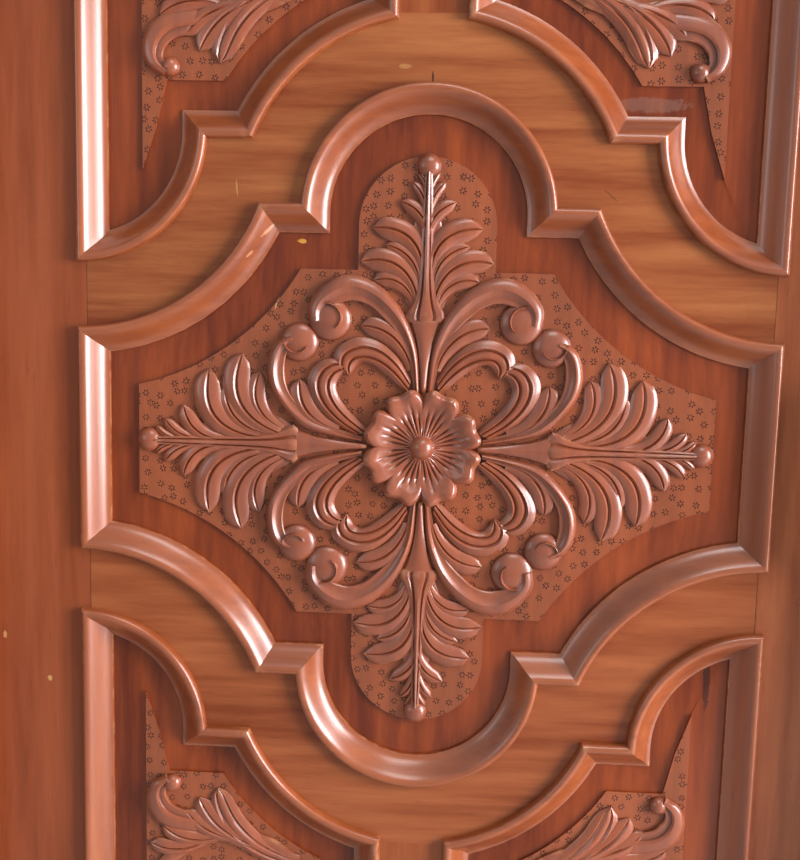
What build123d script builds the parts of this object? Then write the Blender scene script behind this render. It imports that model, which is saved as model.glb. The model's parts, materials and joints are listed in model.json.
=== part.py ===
"""Carved door leaf of frame and panel construction, hung in its own rebated frame.

Millimetres, +Z up. The carved front faces -Y. The origin is under the middle of the
threshold, halfway through the depth of the door frame.
"""

import os
from math import atan2, ceil, cos, degrees, hypot, pi, radians, sin, sqrt

from build123d import *

# Door leaf
LEAF_THICKNESS = 40.0
STILE_WIDTH = 120.0
TOP_RAIL_HEIGHT = 130.0
BOTTOM_RAIL_HEIGHT = 200.0
OPENING_HALF_WIDTH = 330.0
OPENING_HALF_HEIGHT = 870.0
MUNTIN_WIDTH = 80.0

# Curves of the two shaped rails, from the middle of the leaf
SHOULDER_CENTRE_Z = 300.0
CENTRE_STEP_END_X = 161.5
CORNER_STEP_END_X = 211.0
ARCH_CENTRE_Z = 224.0
ARCH_INNER_RADIUS = 121.5
ARCH_OUTER_RADIUS = 180.5
CENTRE_STEP_Z = 232.5
CORNER_STEP_Z = 292.0

# Raised moulding round each panel
MOULDING_LIP = 8.0
MOULDING_WIDTH = 27.0
# Bead, slope and hollow: distance in from the outer edge, height above the stile
MOULDING_PROFILE = ((0.0, 4.2), (2.6, 8.4), (6.4, 8.6), (20.0, -8.8), (MOULDING_WIDTH, -11.4))

# Panels
PANEL_SINK = 13.4
TONGUE_THICKNESS = 12.0
GROOVE_DEPTH = 10.0
GROOVE_SIDE_PLAY = 0.15
GROOVE_END_PLAY = 0.5
FIELD_SINK = 6.5
FIELD_STEP = 2.5
BEVEL_FOOT_MARGIN = 0.5
BEVEL_TOP_MARGIN = 1.0
BEVEL_FACET = 32.0
CENTRE_FIELD_MARGIN = 30.0
CENTRE_FIELD_SHOULDER_RADIUS = 252.0
CENTRE_FIELD_TOP_Z = 171.0
CENTRE_FIELD_ARCH_RADIUS = 66.0
CENTRE_FIELD_ARCH_Z = 213.0
CORNER_FIELD_MARGIN = 35.0
CORNER_FIELD_ARCH_MARGIN = 23.0
CORNER_FIELD_STEP_MARGIN = 27.0
CORNER_FIELD_HORN_LENGTH = 84.0
CORNER_FIELD_HORN_WIDTH = 24.0
CORNER_FIELD_HORN_BOW = 0.6

# Carving
CARVING_BED = 1.0
BOSS_TAPER = 0.5
ROSETTE_RADIUS = 58.0
ROSETTE_PETALS = 8
ROSETTE_PETAL_WIDTH = 30.0
ROSETTE_HEIGHT = 9.0
PETAL_FOOT = 9.0
BUTTON_RADIUS = 13.5
BUTTON_HEIGHT = 12.0
CALYX_DISTANCE = 126.0
CALYX_WIDTH = 38.0
SPRAY_LENGTH = 281.0
SPRAY_RIB_WIDTH = 12.0
SPRAY_RIB_HEIGHT = 7.0
BUD_WIDTH = 23.0
SIDE_SPRAY_SPREAD = 1.0
END_SPRAY_SPREAD = 0.7
LEAF_HEIGHT = 6.5
STEM_HEIGHT = 6.0
HOOK_BALL_RADIUS = 6.5
VOLUTE_HEIGHT = 9.0
VOLUTE_CLOSING = 0.32
EYE_SHARE = 0.62
RING_RADIUS = 88.0
RING_WIDTH = 18.0
RING_HEIGHT = 4.5
RING_RISE = 154.0
RING_HALF_STEPS = 8

# Joints of the leaf
TENON_THICKNESS = 12.0
RAIL_TENON_LENGTH = 70.0
MUNTIN_TENON_LENGTH = 25.0
TENON_SHOULDER = 12.0
TENON_PLAY = 0.15

# Door frame
FRAME_DEPTH = 100.0
JAMB_WIDTH = 75.0
HEAD_HEIGHT = 75.0
THRESHOLD_HEIGHT = 45.0
REBATE_WIDTH = 12.0
SIDE_GAP = 3.0
FOOT_GAP = 4.0
STOP_GAP = 0.5
FRAME_CHAMFER = 8.0
FRAME_TENON_LENGTH = 35.0
FRAME_TENON_DEPTH = 30.0
FIXING_HOLE_RADIUS = 4.5
FIXING_Y = -22.0
FIXING_FROM_FLOOR = 250.0
FIXING_FROM_TOP = 235.0

# Lift-off hinges, with the pin fixed in the lower knuckle
HINGE_HEIGHT = 125.0
HINGE_PLATE_WIDTH = 34.0
HINGE_PLATE_THICKNESS = 2.5
HINGE_PLATE_PLAY = 0.1
KNUCKLE_RADIUS = 7.0
KNUCKLE_STANDOFF = 0.5
KNUCKLE_GAP = 0.4
PIN_RADIUS = 3.5
PIN_PLAY = 0.05
PIN_END_DEPTH = 3.0
HINGE_FROM_FOOT = 170.0
HINGE_FROM_TOP = 220.0

# Pull handle
HANDLE_DROP = 14.0
HANDLE_FROM_EDGE = 50.0
HANDLE_LENGTH = 170.0
HANDLE_REACH = 38.0
HANDLE_BAR_RADIUS = 7.0
HANDLE_CORNER = 10.0
HANDLE_SIDES = 8
HANDLE_ROSE_RADIUS = 16.0
HANDLE_ROSE_THICKNESS = 4.0

# Places that follow from the sizes above
LEAF_BACK = FRAME_DEPTH / 2
LEAF_FRONT = LEAF_BACK - LEAF_THICKNESS
LEAF_HALF_WIDTH = OPENING_HALF_WIDTH + STILE_WIDTH
LEAF_BOTTOM = THRESHOLD_HEIGHT + FOOT_GAP
LEAF_MIDDLE = LEAF_BOTTOM + BOTTOM_RAIL_HEIGHT + OPENING_HALF_HEIGHT
LEAF_TOP = LEAF_MIDDLE + OPENING_HALF_HEIGHT + TOP_RAIL_HEIGHT
LEAF_CORE = (LEAF_FRONT + LEAF_BACK) / 2
SIGHT_HALF_WIDTH = OPENING_HALF_WIDTH + MOULDING_LIP
SIGHT_HALF_HEIGHT = OPENING_HALF_HEIGHT + MOULDING_LIP
SIGHT_MUNTIN = MUNTIN_WIDTH / 2 - MOULDING_LIP
SHOULDER_OUTER_RADIUS = hypot(SIGHT_HALF_WIDTH - CENTRE_STEP_END_X, SHOULDER_CENTRE_Z - CENTRE_STEP_Z)
SHOULDER_INNER_RADIUS = SIGHT_HALF_WIDTH - CORNER_STEP_END_X
PANEL_FRONT = LEAF_FRONT + PANEL_SINK
PANEL_BACK = PANEL_FRONT + TONGUE_THICKNESS
FIELD_SIDE_X = SIGHT_HALF_WIDTH - MOULDING_WIDTH - CORNER_FIELD_MARGIN
FIELD_MUNTIN_X = SIGHT_MUNTIN + MOULDING_WIDTH + CORNER_FIELD_MARGIN
FIELD_STEP_Z = CORNER_STEP_Z + MOULDING_WIDTH + CORNER_FIELD_STEP_MARGIN
FIELD_FRONT = LEAF_FRONT + FIELD_SINK
FIELD_FOOT = FIELD_FRONT + FIELD_STEP
REBATE_X = LEAF_HALF_WIDTH + SIDE_GAP
REBATE_TOP = LEAF_TOP + SIDE_GAP
STOP_X = REBATE_X - REBATE_WIDTH
STOP_LOW = THRESHOLD_HEIGHT + REBATE_WIDTH
STOP_TOP = REBATE_TOP - REBATE_WIDTH
STOP_BACK = LEAF_FRONT - STOP_GAP
FRAME_HALF_WIDTH = STOP_X + JAMB_WIDTH
FRAME_TOP = STOP_TOP + HEAD_HEIGHT
FRAME_FRONT = -FRAME_DEPTH / 2
HINGE_X = -(LEAF_HALF_WIDTH + SIDE_GAP / 2)
HINGE_Y = LEAF_BACK + KNUCKLE_STANDOFF + KNUCKLE_RADIUS
LOWEST_HINGE, HIGHEST_HINGE = LEAF_BOTTOM + HINGE_FROM_FOOT, LEAF_TOP - HINGE_FROM_TOP
HINGE_HEIGHTS = (LOWEST_HINGE, (LOWEST_HINGE + HIGHEST_HINGE) / 2, HIGHEST_HINGE)
LOWEST_FIXING, HIGHEST_FIXING = FIXING_FROM_FLOOR, FRAME_TOP - FIXING_FROM_TOP
FIXING_HEIGHTS = (LOWEST_FIXING, (LOWEST_FIXING + HIGHEST_FIXING) / 2, HIGHEST_FIXING)
HANDLE_X = LEAF_HALF_WIDTH - HANDLE_FROM_EDGE
HANDLE_FEET = (-HANDLE_DROP - HANDLE_LENGTH / 2, -HANDLE_DROP + HANDLE_LENGTH / 2)
MIDDLE = Plane.XY.offset(LEAF_MIDDLE)

# Directions in degrees, as seen from the front
LEFT, DOWN, HALF_TURN, FULL_TURN = 180.0, 270.0, 180.0, 360.0

# How far a cutting tool or a blank runs past what it cuts
PAST = 1.0
PAST_ARC = 12.0


# Flat outlines, as seen from the front, from the middle of the leaf


def front(x, z, y=0.0):
    """Point at x across, z above the middle of the leaf, at depth y."""
    return Vector(x, y, LEAF_MIDDLE + z)


def arc_turn(centre, start, finish):
    """Angle of one point round a centre, and the short turn from it to another, in radians."""
    begin = atan2(start[1] - centre[1], start[0] - centre[0])
    end = atan2(finish[1] - centre[1], finish[0] - centre[0])
    return begin, (end - begin + pi) % (2 * pi) - pi


def on_arc(centre, start, finish, share):
    """Point at a share of the way from one point to another, straight or round a centre."""
    if centre is None:
        return tuple(a + (b - a) * share for a, b in zip(start, finish))
    begin, turn = arc_turn(centre, start, finish)
    radius = hypot(start[0] - centre[0], start[1] - centre[1])
    angle = begin + turn * share
    return centre[0] + radius * cos(angle), centre[1] + radius * sin(angle)


def runs(outline):
    """The runs of a closed outline, as (centre, start, finish)."""
    return [(centre, point, after) for (point, centre), (after, _)
            in zip(outline, outline[1:] + outline[:1])]


def wire(outline, y):
    """Closed wire of an outline, a list of (point, centre): a centre of None is a straight run."""
    edges = []
    for centre, start, finish in runs(outline):
        ends = (front(*start, y), front(*finish, y))
        if centre is None:
            edges.append(Edge.make_line(*ends))
        else:
            middle = front(*on_arc(centre, start, finish, 0.5), y)
            edges.append(Edge.make_three_point_arc(ends[0], middle, ends[1]))
    return Wire(edges)


def arch_join(radius, step_z):
    """Points where an arch meets its step: straight down below its centre, or on the arc."""
    if step_z < ARCH_CENTRE_Z:
        return [(radius, step_z), (radius, ARCH_CENTRE_Z)]
    return [(sqrt(radius**2 - (step_z - ARCH_CENTRE_Z) ** 2), step_z)]


def four_quarters(quarter, last, arch_z):
    """Outline with four like quarters, each ending in half an arch over its middle."""
    apex = (0.0, arch_z + hypot(last[0], last[1] - arch_z))
    quarter = quarter + [(last, (0.0, arch_z)), (apex, None)]
    outline = []
    for across, up in ((1, 1), (-1, 1), (-1, -1), (1, -1)):
        points = [(across * x, up * z) for (x, z), _ in quarter]
        pivots = [c and (across * c[0], up * c[1]) for _, c in quarter[:-1]]
        if across == up:
            outline += list(zip(points, pivots))
        else:
            outline += list(zip(points[::-1], pivots[::-1]))
            outline.append((points[0], None))
    return outline


def centre_outline(inset):
    """Outline of the centre panel, a stated distance inside the outer edge of its moulding."""
    side = SIGHT_HALF_WIDTH - inset
    pivot = (SIGHT_HALF_WIDTH, SHOULDER_CENTRE_Z)
    radius = SHOULDER_OUTER_RADIUS + inset
    step = CENTRE_STEP_Z - inset
    corner = (side, pivot[1] - sqrt(radius**2 - inset**2))
    shoulder = (pivot[0] - sqrt(radius**2 - (pivot[1] - step) ** 2), step)
    foot = arch_join(ARCH_INNER_RADIUS - inset, step)
    quarter = [(corner, pivot), (shoulder, None)]
    quarter += [(point, None) for point in foot[:-1]]
    return four_quarters(quarter, foot[-1], ARCH_CENTRE_Z)


def centre_field_outline(inset=0.0):
    """Outline of the raised and punched field in the middle of the centre panel."""
    pivot = (SIGHT_HALF_WIDTH, SHOULDER_CENTRE_Z)
    radius = CENTRE_FIELD_SHOULDER_RADIUS + inset
    side = SIGHT_HALF_WIDTH - MOULDING_WIDTH - CENTRE_FIELD_MARGIN - inset
    corner = (side, pivot[1] - sqrt(radius**2 - (pivot[0] - side) ** 2))
    top = CENTRE_FIELD_TOP_Z - inset
    shoulder = (pivot[0] - sqrt(radius**2 - (pivot[1] - top) ** 2), top)
    arch = CENTRE_FIELD_ARCH_RADIUS - inset
    quarter = [(corner, pivot), (shoulder, None), ((arch, top), None)]
    return four_quarters(quarter, (arch, CENTRE_FIELD_ARCH_Z), CENTRE_FIELD_ARCH_Z)


def corner_outline(inset):
    """Outline of the upper right panel, inside the outer edge of its moulding."""
    side = SIGHT_HALF_WIDTH - inset
    pivot = (SIGHT_HALF_WIDTH, SHOULDER_CENTRE_Z)
    radius = SHOULDER_INNER_RADIUS - inset
    step = CORNER_STEP_Z + inset
    arch = ARCH_OUTER_RADIUS + inset
    inner = SIGHT_MUNTIN + inset
    top = SIGHT_HALF_HEIGHT - inset
    outline = [((side, pivot[1] - sqrt(radius**2 - inset**2)), pivot)]
    if step > pivot[1]:
        outline.append(((pivot[0] - radius, pivot[1]), None))
        outline.append(((pivot[0] - radius, step), None))
    else:
        outline.append(((pivot[0] - sqrt(radius**2 - (pivot[1] - step) ** 2), step), None))
    outline.append(((sqrt(arch**2 - (step - ARCH_CENTRE_Z) ** 2), step), (0.0, ARCH_CENTRE_Z)))
    outline.append(((inner, ARCH_CENTRE_Z + sqrt(arch**2 - inner**2)), None))
    return outline + [((inner, top), None), ((side, top), None)]


def corner_field_outline(inset=0.0):
    """Outline of the raised field of the upper right panel, with its pointed horn."""
    side, step, inner = FIELD_SIDE_X - inset, FIELD_STEP_Z + inset, FIELD_MUNTIN_X + inset
    arch = ARCH_OUTER_RADIUS + MOULDING_WIDTH + CORNER_FIELD_ARCH_MARGIN + inset
    top = SIGHT_HALF_HEIGHT - MOULDING_WIDTH - CORNER_FIELD_MARGIN - inset
    horn_length = CORNER_FIELD_HORN_LENGTH - CORNER_FIELD_HORN_LENGTH / CORNER_FIELD_HORN_WIDTH * inset
    root = side - CORNER_FIELD_HORN_WIDTH + inset
    bend = (side - CORNER_FIELD_HORN_BOW * CORNER_FIELD_HORN_WIDTH, step - horn_length / 2)
    foot = (sqrt(arch**2 - (step - ARCH_CENTRE_Z) ** 2), step)
    crown = (inner, ARCH_CENTRE_Z + sqrt(arch**2 - inner**2))
    outline = [((side, step - horn_length), None), (bend, None), ((root, step), None)]
    outline += [(foot, (0.0, ARCH_CENTRE_Z)), (crown, None)]
    return outline + [((inner, top), None), ((side, top), None)]


def polygon_face(points):
    return Face(Wire.make_polygon(points, close=True))


def slab(outline, low, high):
    """Solid of an outline between two depths."""
    return extrude(Face(wire(outline, low)), amount=high - low, dir=(0, 1, 0))


def bevelled(lower, low, upper, high):
    """Solid of flat facets that shrinks from one outline to another between two depths."""
    feet, tops = [], []
    for below, above in zip(runs(lower), runs(upper)):
        longest = 0.0
        for centre, start, finish in (below, above):
            if centre is not None:
                turn = arc_turn(centre, start, finish)[1]
                longest = max(longest, abs(turn) * hypot(start[0] - centre[0], start[1] - centre[1]))
        count = max(1, ceil(longest / BEVEL_FACET))
        feet += [front(*on_arc(*below, k / count), low) for k in range(count)]
        tops += [front(*on_arc(*above, k / count), high) for k in range(count)]
    faces = [polygon_face(feet), polygon_face(tops)]
    for i in range(len(feet)):
        faces.append(polygon_face([feet[i - 1], feet[i], tops[i]]))
        faces.append(polygon_face([feet[i - 1], tops[i], tops[i - 1]]))
    return Solid(Shell(faces))


def box_between(x, y, z):
    """Box from three (low, high) pairs."""
    size = Box(x[1] - x[0], y[1] - y[0], z[1] - z[0], align=(Align.MIN, Align.MIN, Align.MIN))
    return Pos(x[0], y[0], z[0]) * size


def leaf_box(x, z, y=(LEAF_FRONT, LEAF_BACK)):
    """Box with its heights counted from the middle of the leaf."""
    return box_between(x, y, (LEAF_MIDDLE + z[0], LEAF_MIDDLE + z[1]))


def copies(shape):
    """The four places of an upper right shape: the shape and its mirror images."""
    across = mirror(shape, about=Plane.YZ)
    return {
        "upper_right": shape,
        "upper_left": across,
        "lower_right": mirror(shape, about=MIDDLE),
        "lower_left": mirror(across, about=MIDDLE),
    }


# Openings and grooves that the panels need in the wood round them


def wood_cuts():
    """Through openings and panel grooves, as one list of tools."""
    through = (LEAF_FRONT - PAST, LEAF_BACK + PAST)
    groove = (PANEL_FRONT - GROOVE_SIDE_PLAY, PANEL_BACK + GROOVE_SIDE_PLAY)
    tools = []
    for inset, depth in ((MOULDING_LIP, through), (MOULDING_LIP - GROOVE_DEPTH, groove)):
        tools.append(slab(centre_outline(inset), *depth))
        tools += copies(slab(corner_outline(inset), *depth)).values()
    return tools


def tenon(x, z, play=0.0):
    """Tenon in the middle of the leaf's thickness, or its mortise with some play."""
    half = TENON_THICKNESS / 2 + play
    low, high = sorted(x)
    return leaf_box((low - play, high + play), (z[0] - play, z[1] + play),
                    (LEAF_CORE - half, LEAF_CORE + half))


def shoulder_heights():
    """Lowest and highest point of a shaped rail where it meets the stile."""
    reach = MOULDING_LIP
    low = SHOULDER_CENTRE_Z - sqrt((SHOULDER_OUTER_RADIUS + reach) ** 2 - reach**2)
    high = SHOULDER_CENTRE_Z - sqrt((SHOULDER_INNER_RADIUS - reach) ** 2 - reach**2)
    return low, high


def muntin_foot():
    """Height at which a muntin stands on a shaped rail."""
    return ARCH_CENTRE_Z + sqrt((ARCH_OUTER_RADIUS + MOULDING_LIP) ** 2 - (MUNTIN_WIDTH / 2) ** 2)


def rail_tenon_heights():
    """Height ranges of the tenons of the top, bottom and two shaped rails."""
    low, high = shoulder_heights()
    inset = GROOVE_DEPTH + TENON_SHOULDER
    top = OPENING_HALF_HEIGHT
    shaped = (low + inset, high - inset)
    return {
        "top_rail": (top + inset, top + TOP_RAIL_HEIGHT - TENON_SHOULDER),
        "bottom_rail": (-top - BOTTOM_RAIL_HEIGHT + TENON_SHOULDER, -top - inset),
        "upper_curved_rail": shaped,
        "lower_curved_rail": (-shaped[1], -shaped[0]),
    }


def side_tenons(heights, play=0.0):
    """Left and right tenons of a rail."""
    inner, outer = OPENING_HALF_WIDTH, OPENING_HALF_WIDTH + RAIL_TENON_LENGTH
    return [tenon((inner, outer), heights, play), tenon((-outer, -inner), heights, play)]


def muntin_tenons(play=0.0):
    """Tenons at the foot and the top of the upper muntin."""
    half = MUNTIN_WIDTH / 2 - GROOVE_DEPTH
    foot, top = muntin_foot(), OPENING_HALF_HEIGHT
    low = tenon((-half, half), (foot - MUNTIN_TENON_LENGTH, foot), play)
    high = tenon((-half, half), (top, top + MUNTIN_TENON_LENGTH), play)
    return [low, high]


def make_leaf_frame():
    """Stiles, rails and muntins."""
    cuts = wood_cuts()
    half, wide = OPENING_HALF_WIDTH, LEAF_HALF_WIDTH
    top, foot = OPENING_HALF_HEIGHT, muntin_foot()
    low, _ = shoulder_heights()
    muntin = (-MUNTIN_WIDTH / 2, MUNTIN_WIDTH / 2)
    heights = rail_tenon_heights()
    mortises = [t for pair in heights.values() for t in side_tenons(pair, TENON_PLAY)]
    sockets = muntin_tenons(TENON_PLAY)
    sockets += [mirror(socket, about=MIDDLE) for socket in sockets]
    span = (-top - BOTTOM_RAIL_HEIGHT, top + TOP_RAIL_HEIGHT)

    def member(blank, tongues=(), holes=()):
        """Cuts a blank to the panels, adds its tenons and takes out its mortises."""
        wood = blank - cuts
        if tongues:
            wood = wood + list(tongues)
        return wood - list(holes) if holes else wood

    right = member(leaf_box((half, wide), span), holes=mortises)
    shaped = leaf_box((-half, half), (low, foot))
    upper = member(shaped, side_tenons(heights["upper_curved_rail"]), sockets)
    post = member(leaf_box(muntin, (foot, top)), muntin_tenons())
    top_rail = leaf_box((-half, half), (top, span[1]))
    bottom_rail = leaf_box((-half, half), (span[0], -top))
    return {
        "lock_stile": right,
        "hinge_stile": mirror(right, about=Plane.YZ) - hinge_recesses(1),
        "upper_curved_rail": upper,
        "lower_curved_rail": mirror(upper, about=MIDDLE),
        "upper_muntin": post,
        "lower_muntin": mirror(post, about=MIDDLE),
        "top_rail": member(top_rail, side_tenons(heights["top_rail"]), sockets),
        "bottom_rail": member(bottom_rail, side_tenons(heights["bottom_rail"]), sockets),
    }


# Raised mouldings, mitred round the panels


def moulding_section(along, inward):
    """Section of the moulding at a point of its outer edge, square to its run."""
    inward, outward = Vector(*inward), Vector(0, -1, 0)
    foot = ((MOULDING_WIDTH, -PANEL_SINK), (MOULDING_LIP, -PANEL_SINK), (MOULDING_LIP, 0.0), (0.0, 0.0))
    return polygon_face([along + inward * x + outward * y for x, y in MOULDING_PROFILE + foot])


def straight_moulding(start, finish, inward):
    """Moulding along a straight run, running past both of its corners."""
    path = Vector(finish[0] - start[0], 0, finish[1] - start[1])
    reach = path.normalized() * MOULDING_WIDTH
    origin = front(*start, LEAF_FRONT) - reach
    section = moulding_section(origin, (inward[0], 0, inward[1]))
    return extrude(section, amount=path.length + 2 * MOULDING_WIDTH, dir=path.normalized())


def curved_moulding(centre, radius, begin, finish, panel_outside):
    """Moulding round an arc between two angles in degrees, on either side of the arc."""
    sign = 1 if panel_outside else -1
    turn = radians(begin)
    inward = (sign * cos(turn), 0, sign * sin(turn))
    origin = front(centre[0] + radius * cos(turn), centre[1] + radius * sin(turn), LEAF_FRONT)
    axis = Axis(front(*centre, LEAF_FRONT), (0, -1, 0))
    return revolve(moulding_section(origin, inward), axis, revolution_arc=finish - begin)


def mitre(shape, outer, inner, keep_point):
    """Cuts a moulding on the line through an outer and an inner corner."""
    run = Vector(inner[0] - outer[0], 0, inner[1] - outer[1])
    plane = Plane(origin=front(*outer), z_dir=run.cross(Vector(0, 1, 0)))
    side = plane.to_local_coords(front(*keep_point)).Z
    kept = split(shape, bisect_by=plane, keep=Keep.TOP if side > 0 else Keep.BOTTOM)
    return kept


def centre_corners(inset):
    """Corners of the centre panel's upper right quarter: side, shoulder and arch foot."""
    pivot = (SIGHT_HALF_WIDTH, SHOULDER_CENTRE_Z)
    radius = SHOULDER_OUTER_RADIUS + inset
    step = CENTRE_STEP_Z - inset
    side = (SIGHT_HALF_WIDTH - inset, pivot[1] - sqrt(radius**2 - inset**2))
    shoulder = (pivot[0] - sqrt(radius**2 - (pivot[1] - step) ** 2), step)
    return side, shoulder, arch_join(ARCH_INNER_RADIUS - inset, step)[0]


def corner_corners(inset):
    """Corners of the upper right panel: side, shoulder, arch foot, muntin foot, two at the top."""
    pivot = (SIGHT_HALF_WIDTH, SHOULDER_CENTRE_Z)
    radius = SHOULDER_INNER_RADIUS - inset
    step = CORNER_STEP_Z + inset
    arch = ARCH_OUTER_RADIUS + inset
    inner = SIGHT_MUNTIN + inset
    top = SIGHT_HALF_HEIGHT - inset
    below = max(pivot[1] - step, 0.0)
    return (
        (SIGHT_HALF_WIDTH - inset, pivot[1] - sqrt(radius**2 - inset**2)),
        (pivot[0] - sqrt(radius**2 - below**2), step),
        (sqrt(arch**2 - (step - ARCH_CENTRE_Z) ** 2), step),
        (inner, ARCH_CENTRE_Z + sqrt(arch**2 - inner**2)),
        (inner, top),
        (SIGHT_HALF_WIDTH - inset, top),
    )


def cut_ends(shape, ends, keep_point):
    """Mitres a moulding at each of its ends, given as (outer, inner) corners."""
    for outer, inner in ends:
        shape = mitre(shape, outer, inner, keep_point)
    return shape


def arch_moulding(radius, step):
    """Moulding over the arch: half a ring on two short legs."""
    crown = (0.0, ARCH_CENTRE_Z)
    ring = curved_moulding(crown, radius, 0, HALF_TURN, False)
    foot = step - 2 * MOULDING_WIDTH
    legs = []
    for sign in (1, -1):
        section = moulding_section(front(sign * radius, foot, LEAF_FRONT), (-sign, 0, 0))
        legs.append(extrude(section, amount=ARCH_CENTRE_Z - foot, dir=(0, 0, 1)))
    return ring + legs


def on_circle(centre, radius, degrees_round):
    """Point at an angle round a centre."""
    angle = radians(degrees_round)
    return centre[0] + radius * cos(angle), centre[1] + radius * sin(angle)


def between(first, second, shift):
    """Point halfway between two others, moved up by a shift."""
    return (first[0] + second[0]) / 2, (first[1] + second[1]) / 2 + shift


def angle_round(centre, point):
    """Angle of a point round a centre, in degrees from 0 to 360."""
    return degrees(atan2(point[1] - centre[1], point[0] - centre[0])) % FULL_TURN


def centre_moulding_lengths():
    """Right side, upper right shoulder and step, and top arch round the centre panel."""
    outer, inner = centre_corners(0.0), centre_corners(MOULDING_WIDTH)
    ends = list(zip(outer, inner))
    pivot = (SIGHT_HALF_WIDTH, SHOULDER_CENTRE_Z)
    below = tuple((x, -z) for x, z in ends[0])
    side = straight_moulding(below[0], outer[0], (-1, 0))
    side = cut_ends(side, [ends[0], below], (pivot[0] - PAST, 0.0))
    spread = angle_round(pivot, outer[1])
    shoulder = curved_moulding(pivot, SHOULDER_OUTER_RADIUS, spread - PAST_ARC, DOWN + PAST_ARC, True)
    inside = SHOULDER_OUTER_RADIUS + MOULDING_WIDTH / 2
    shoulder = cut_ends(shoulder, ends[:2], on_circle(pivot, inside, (spread + DOWN) / 2))
    step = straight_moulding(outer[2], outer[1], (0, -1))
    step = cut_ends(step, ends[1:], between(outer[1], outer[2], -PAST))
    left_foot = tuple((-x, z) for x, z in ends[2])
    arch = arch_moulding(ARCH_INNER_RADIUS, CENTRE_STEP_Z)
    arch = cut_ends(arch, [ends[2], left_foot], (0.0, ARCH_CENTRE_Z + ARCH_INNER_RADIUS))
    return side, shoulder, step, arch


def corner_moulding_lengths():
    """The six lengths round the upper right panel, by name."""
    outer, inner = corner_corners(0.0), corner_corners(MOULDING_WIDTH)
    ends = list(zip(outer, inner))
    pivot, crown = (SIGHT_HALF_WIDTH, SHOULDER_CENTRE_Z), (0.0, ARCH_CENTRE_Z)
    side = straight_moulding(outer[0], outer[5], (-1, 0))
    side_middle = between(outer[0], outer[5], 0.0)
    side = cut_ends(side, [ends[0], ends[5]], (side_middle[0] - PAST, side_middle[1]))
    shoulder = shoulder_with_leg(pivot)
    keep = on_circle(pivot, SHOULDER_INNER_RADIUS - PAST, (LEFT + DOWN) / 2)
    shoulder = cut_ends(shoulder, ends[:2], keep)
    step = straight_moulding(outer[2], outer[1], (0, 1))
    step = cut_ends(step, ends[1:3], between(outer[1], outer[2], PAST))
    low, high = angle_round(crown, outer[2]), angle_round(crown, outer[3])
    arch = curved_moulding(crown, ARCH_OUTER_RADIUS, low - PAST_ARC, high + PAST_ARC, True)
    arch = cut_ends(arch, ends[2:4], on_circle(crown, ARCH_OUTER_RADIUS + PAST, (low + high) / 2))
    post = straight_moulding(outer[3], outer[4], (1, 0))
    post = cut_ends(post, ends[3:5], (SIGHT_MUNTIN + PAST, side_middle[1]))
    end = straight_moulding(outer[4], outer[5], (0, -1))
    end = cut_ends(end, ends[4:], between(outer[4], outer[5], -PAST))
    return {"side": side, "shoulder": shoulder, "step": step, "arch": arch, "muntin": post, "end": end}


def make_mouldings():
    """All lengths: straight ones apart, and curved ones of a kind as a group of solids."""
    side, shoulder, step, arch = centre_moulding_lengths()
    named = {
        "centre_moulding_right": side,
        "centre_moulding_left": mirror(side, about=Plane.YZ),
        "centre_arch_mouldings": Compound([arch, mirror(arch, about=MIDDLE)]),
        "centre_shoulder_mouldings": Compound(list(copies(shoulder).values())),
    }
    for place, piece in copies(step).items():
        named[f"{place}_centre_step_moulding"] = piece
    for name, length in corner_moulding_lengths().items():
        if name in ("shoulder", "arch"):
            named[f"corner_{name}_mouldings"] = Compound(list(copies(length).values()))
        else:
            named.update({f"{place}_{name}_moulding": piece for place, piece in copies(length).items()})
    return named


def shoulder_with_leg(pivot):
    """Moulding under a corner panel's shoulder, with a short straight leg up to the step."""
    radius = SHOULDER_INNER_RADIUS
    ring = curved_moulding(pivot, radius, LEFT, DOWN + PAST_ARC, False)
    section = moulding_section(front(pivot[0] - radius, pivot[1], LEAF_FRONT), (1, 0, 0))
    leg = extrude(section, amount=2 * MOULDING_WIDTH, dir=(0, 0, 1))
    return ring + leg


# Carving: ridged blades, stems and bosses that stand on a panel's field


def ridged_blade(stations):
    """Closed body with a keel, from (x, z, half width, height) stations along its length."""
    bed = FIELD_FRONT + CARVING_BED
    left, right, keel = [], [], []
    for index, (x, z, half, height) in enumerate(stations):
        before = stations[max(index - 1, 0)]
        after = stations[min(index + 1, len(stations) - 1)]
        run = hypot(after[0] - before[0], after[1] - before[1])
        across = (-(after[1] - before[1]) / run, (after[0] - before[0]) / run)
        left.append(front(x + across[0] * half, z + across[1] * half, bed))
        right.append(front(x - across[0] * half, z - across[1] * half, bed))
        keel.append(front(x, z, FIELD_FRONT - height))
    faces = [polygon_face(left + right[::-1])]
    faces.append(polygon_face([left[0], right[0], keel[0]]))
    faces.append(polygon_face([left[-1], right[-1], keel[-1]]))
    for i in range(len(stations) - 1):
        for edge in (left, right):
            faces.append(polygon_face([edge[i], edge[i + 1], keel[i + 1]]))
            faces.append(polygon_face([edge[i], keel[i + 1], keel[i]]))
    return Solid(Shell(faces))


def leaf_stations(base, tip, bend, width, height):
    """Stations of a leaf lobe: narrow at its base, full past its middle, blunt at its tip."""
    run = (tip[0] - base[0], tip[1] - base[1])
    stations = []
    for along, share, rise in ((0.0, 0.35, 0.45), (0.6, 1.0, 1.0), (1.0, 0.15, 0.3)):
        bow = bend * 4 * along * (1 - along)
        x = base[0] + run[0] * along - run[1] * bow
        z = base[1] + run[1] * along + run[0] * bow
        stations.append((x, z, width / 2 * share, height * rise))
    return stations


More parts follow.
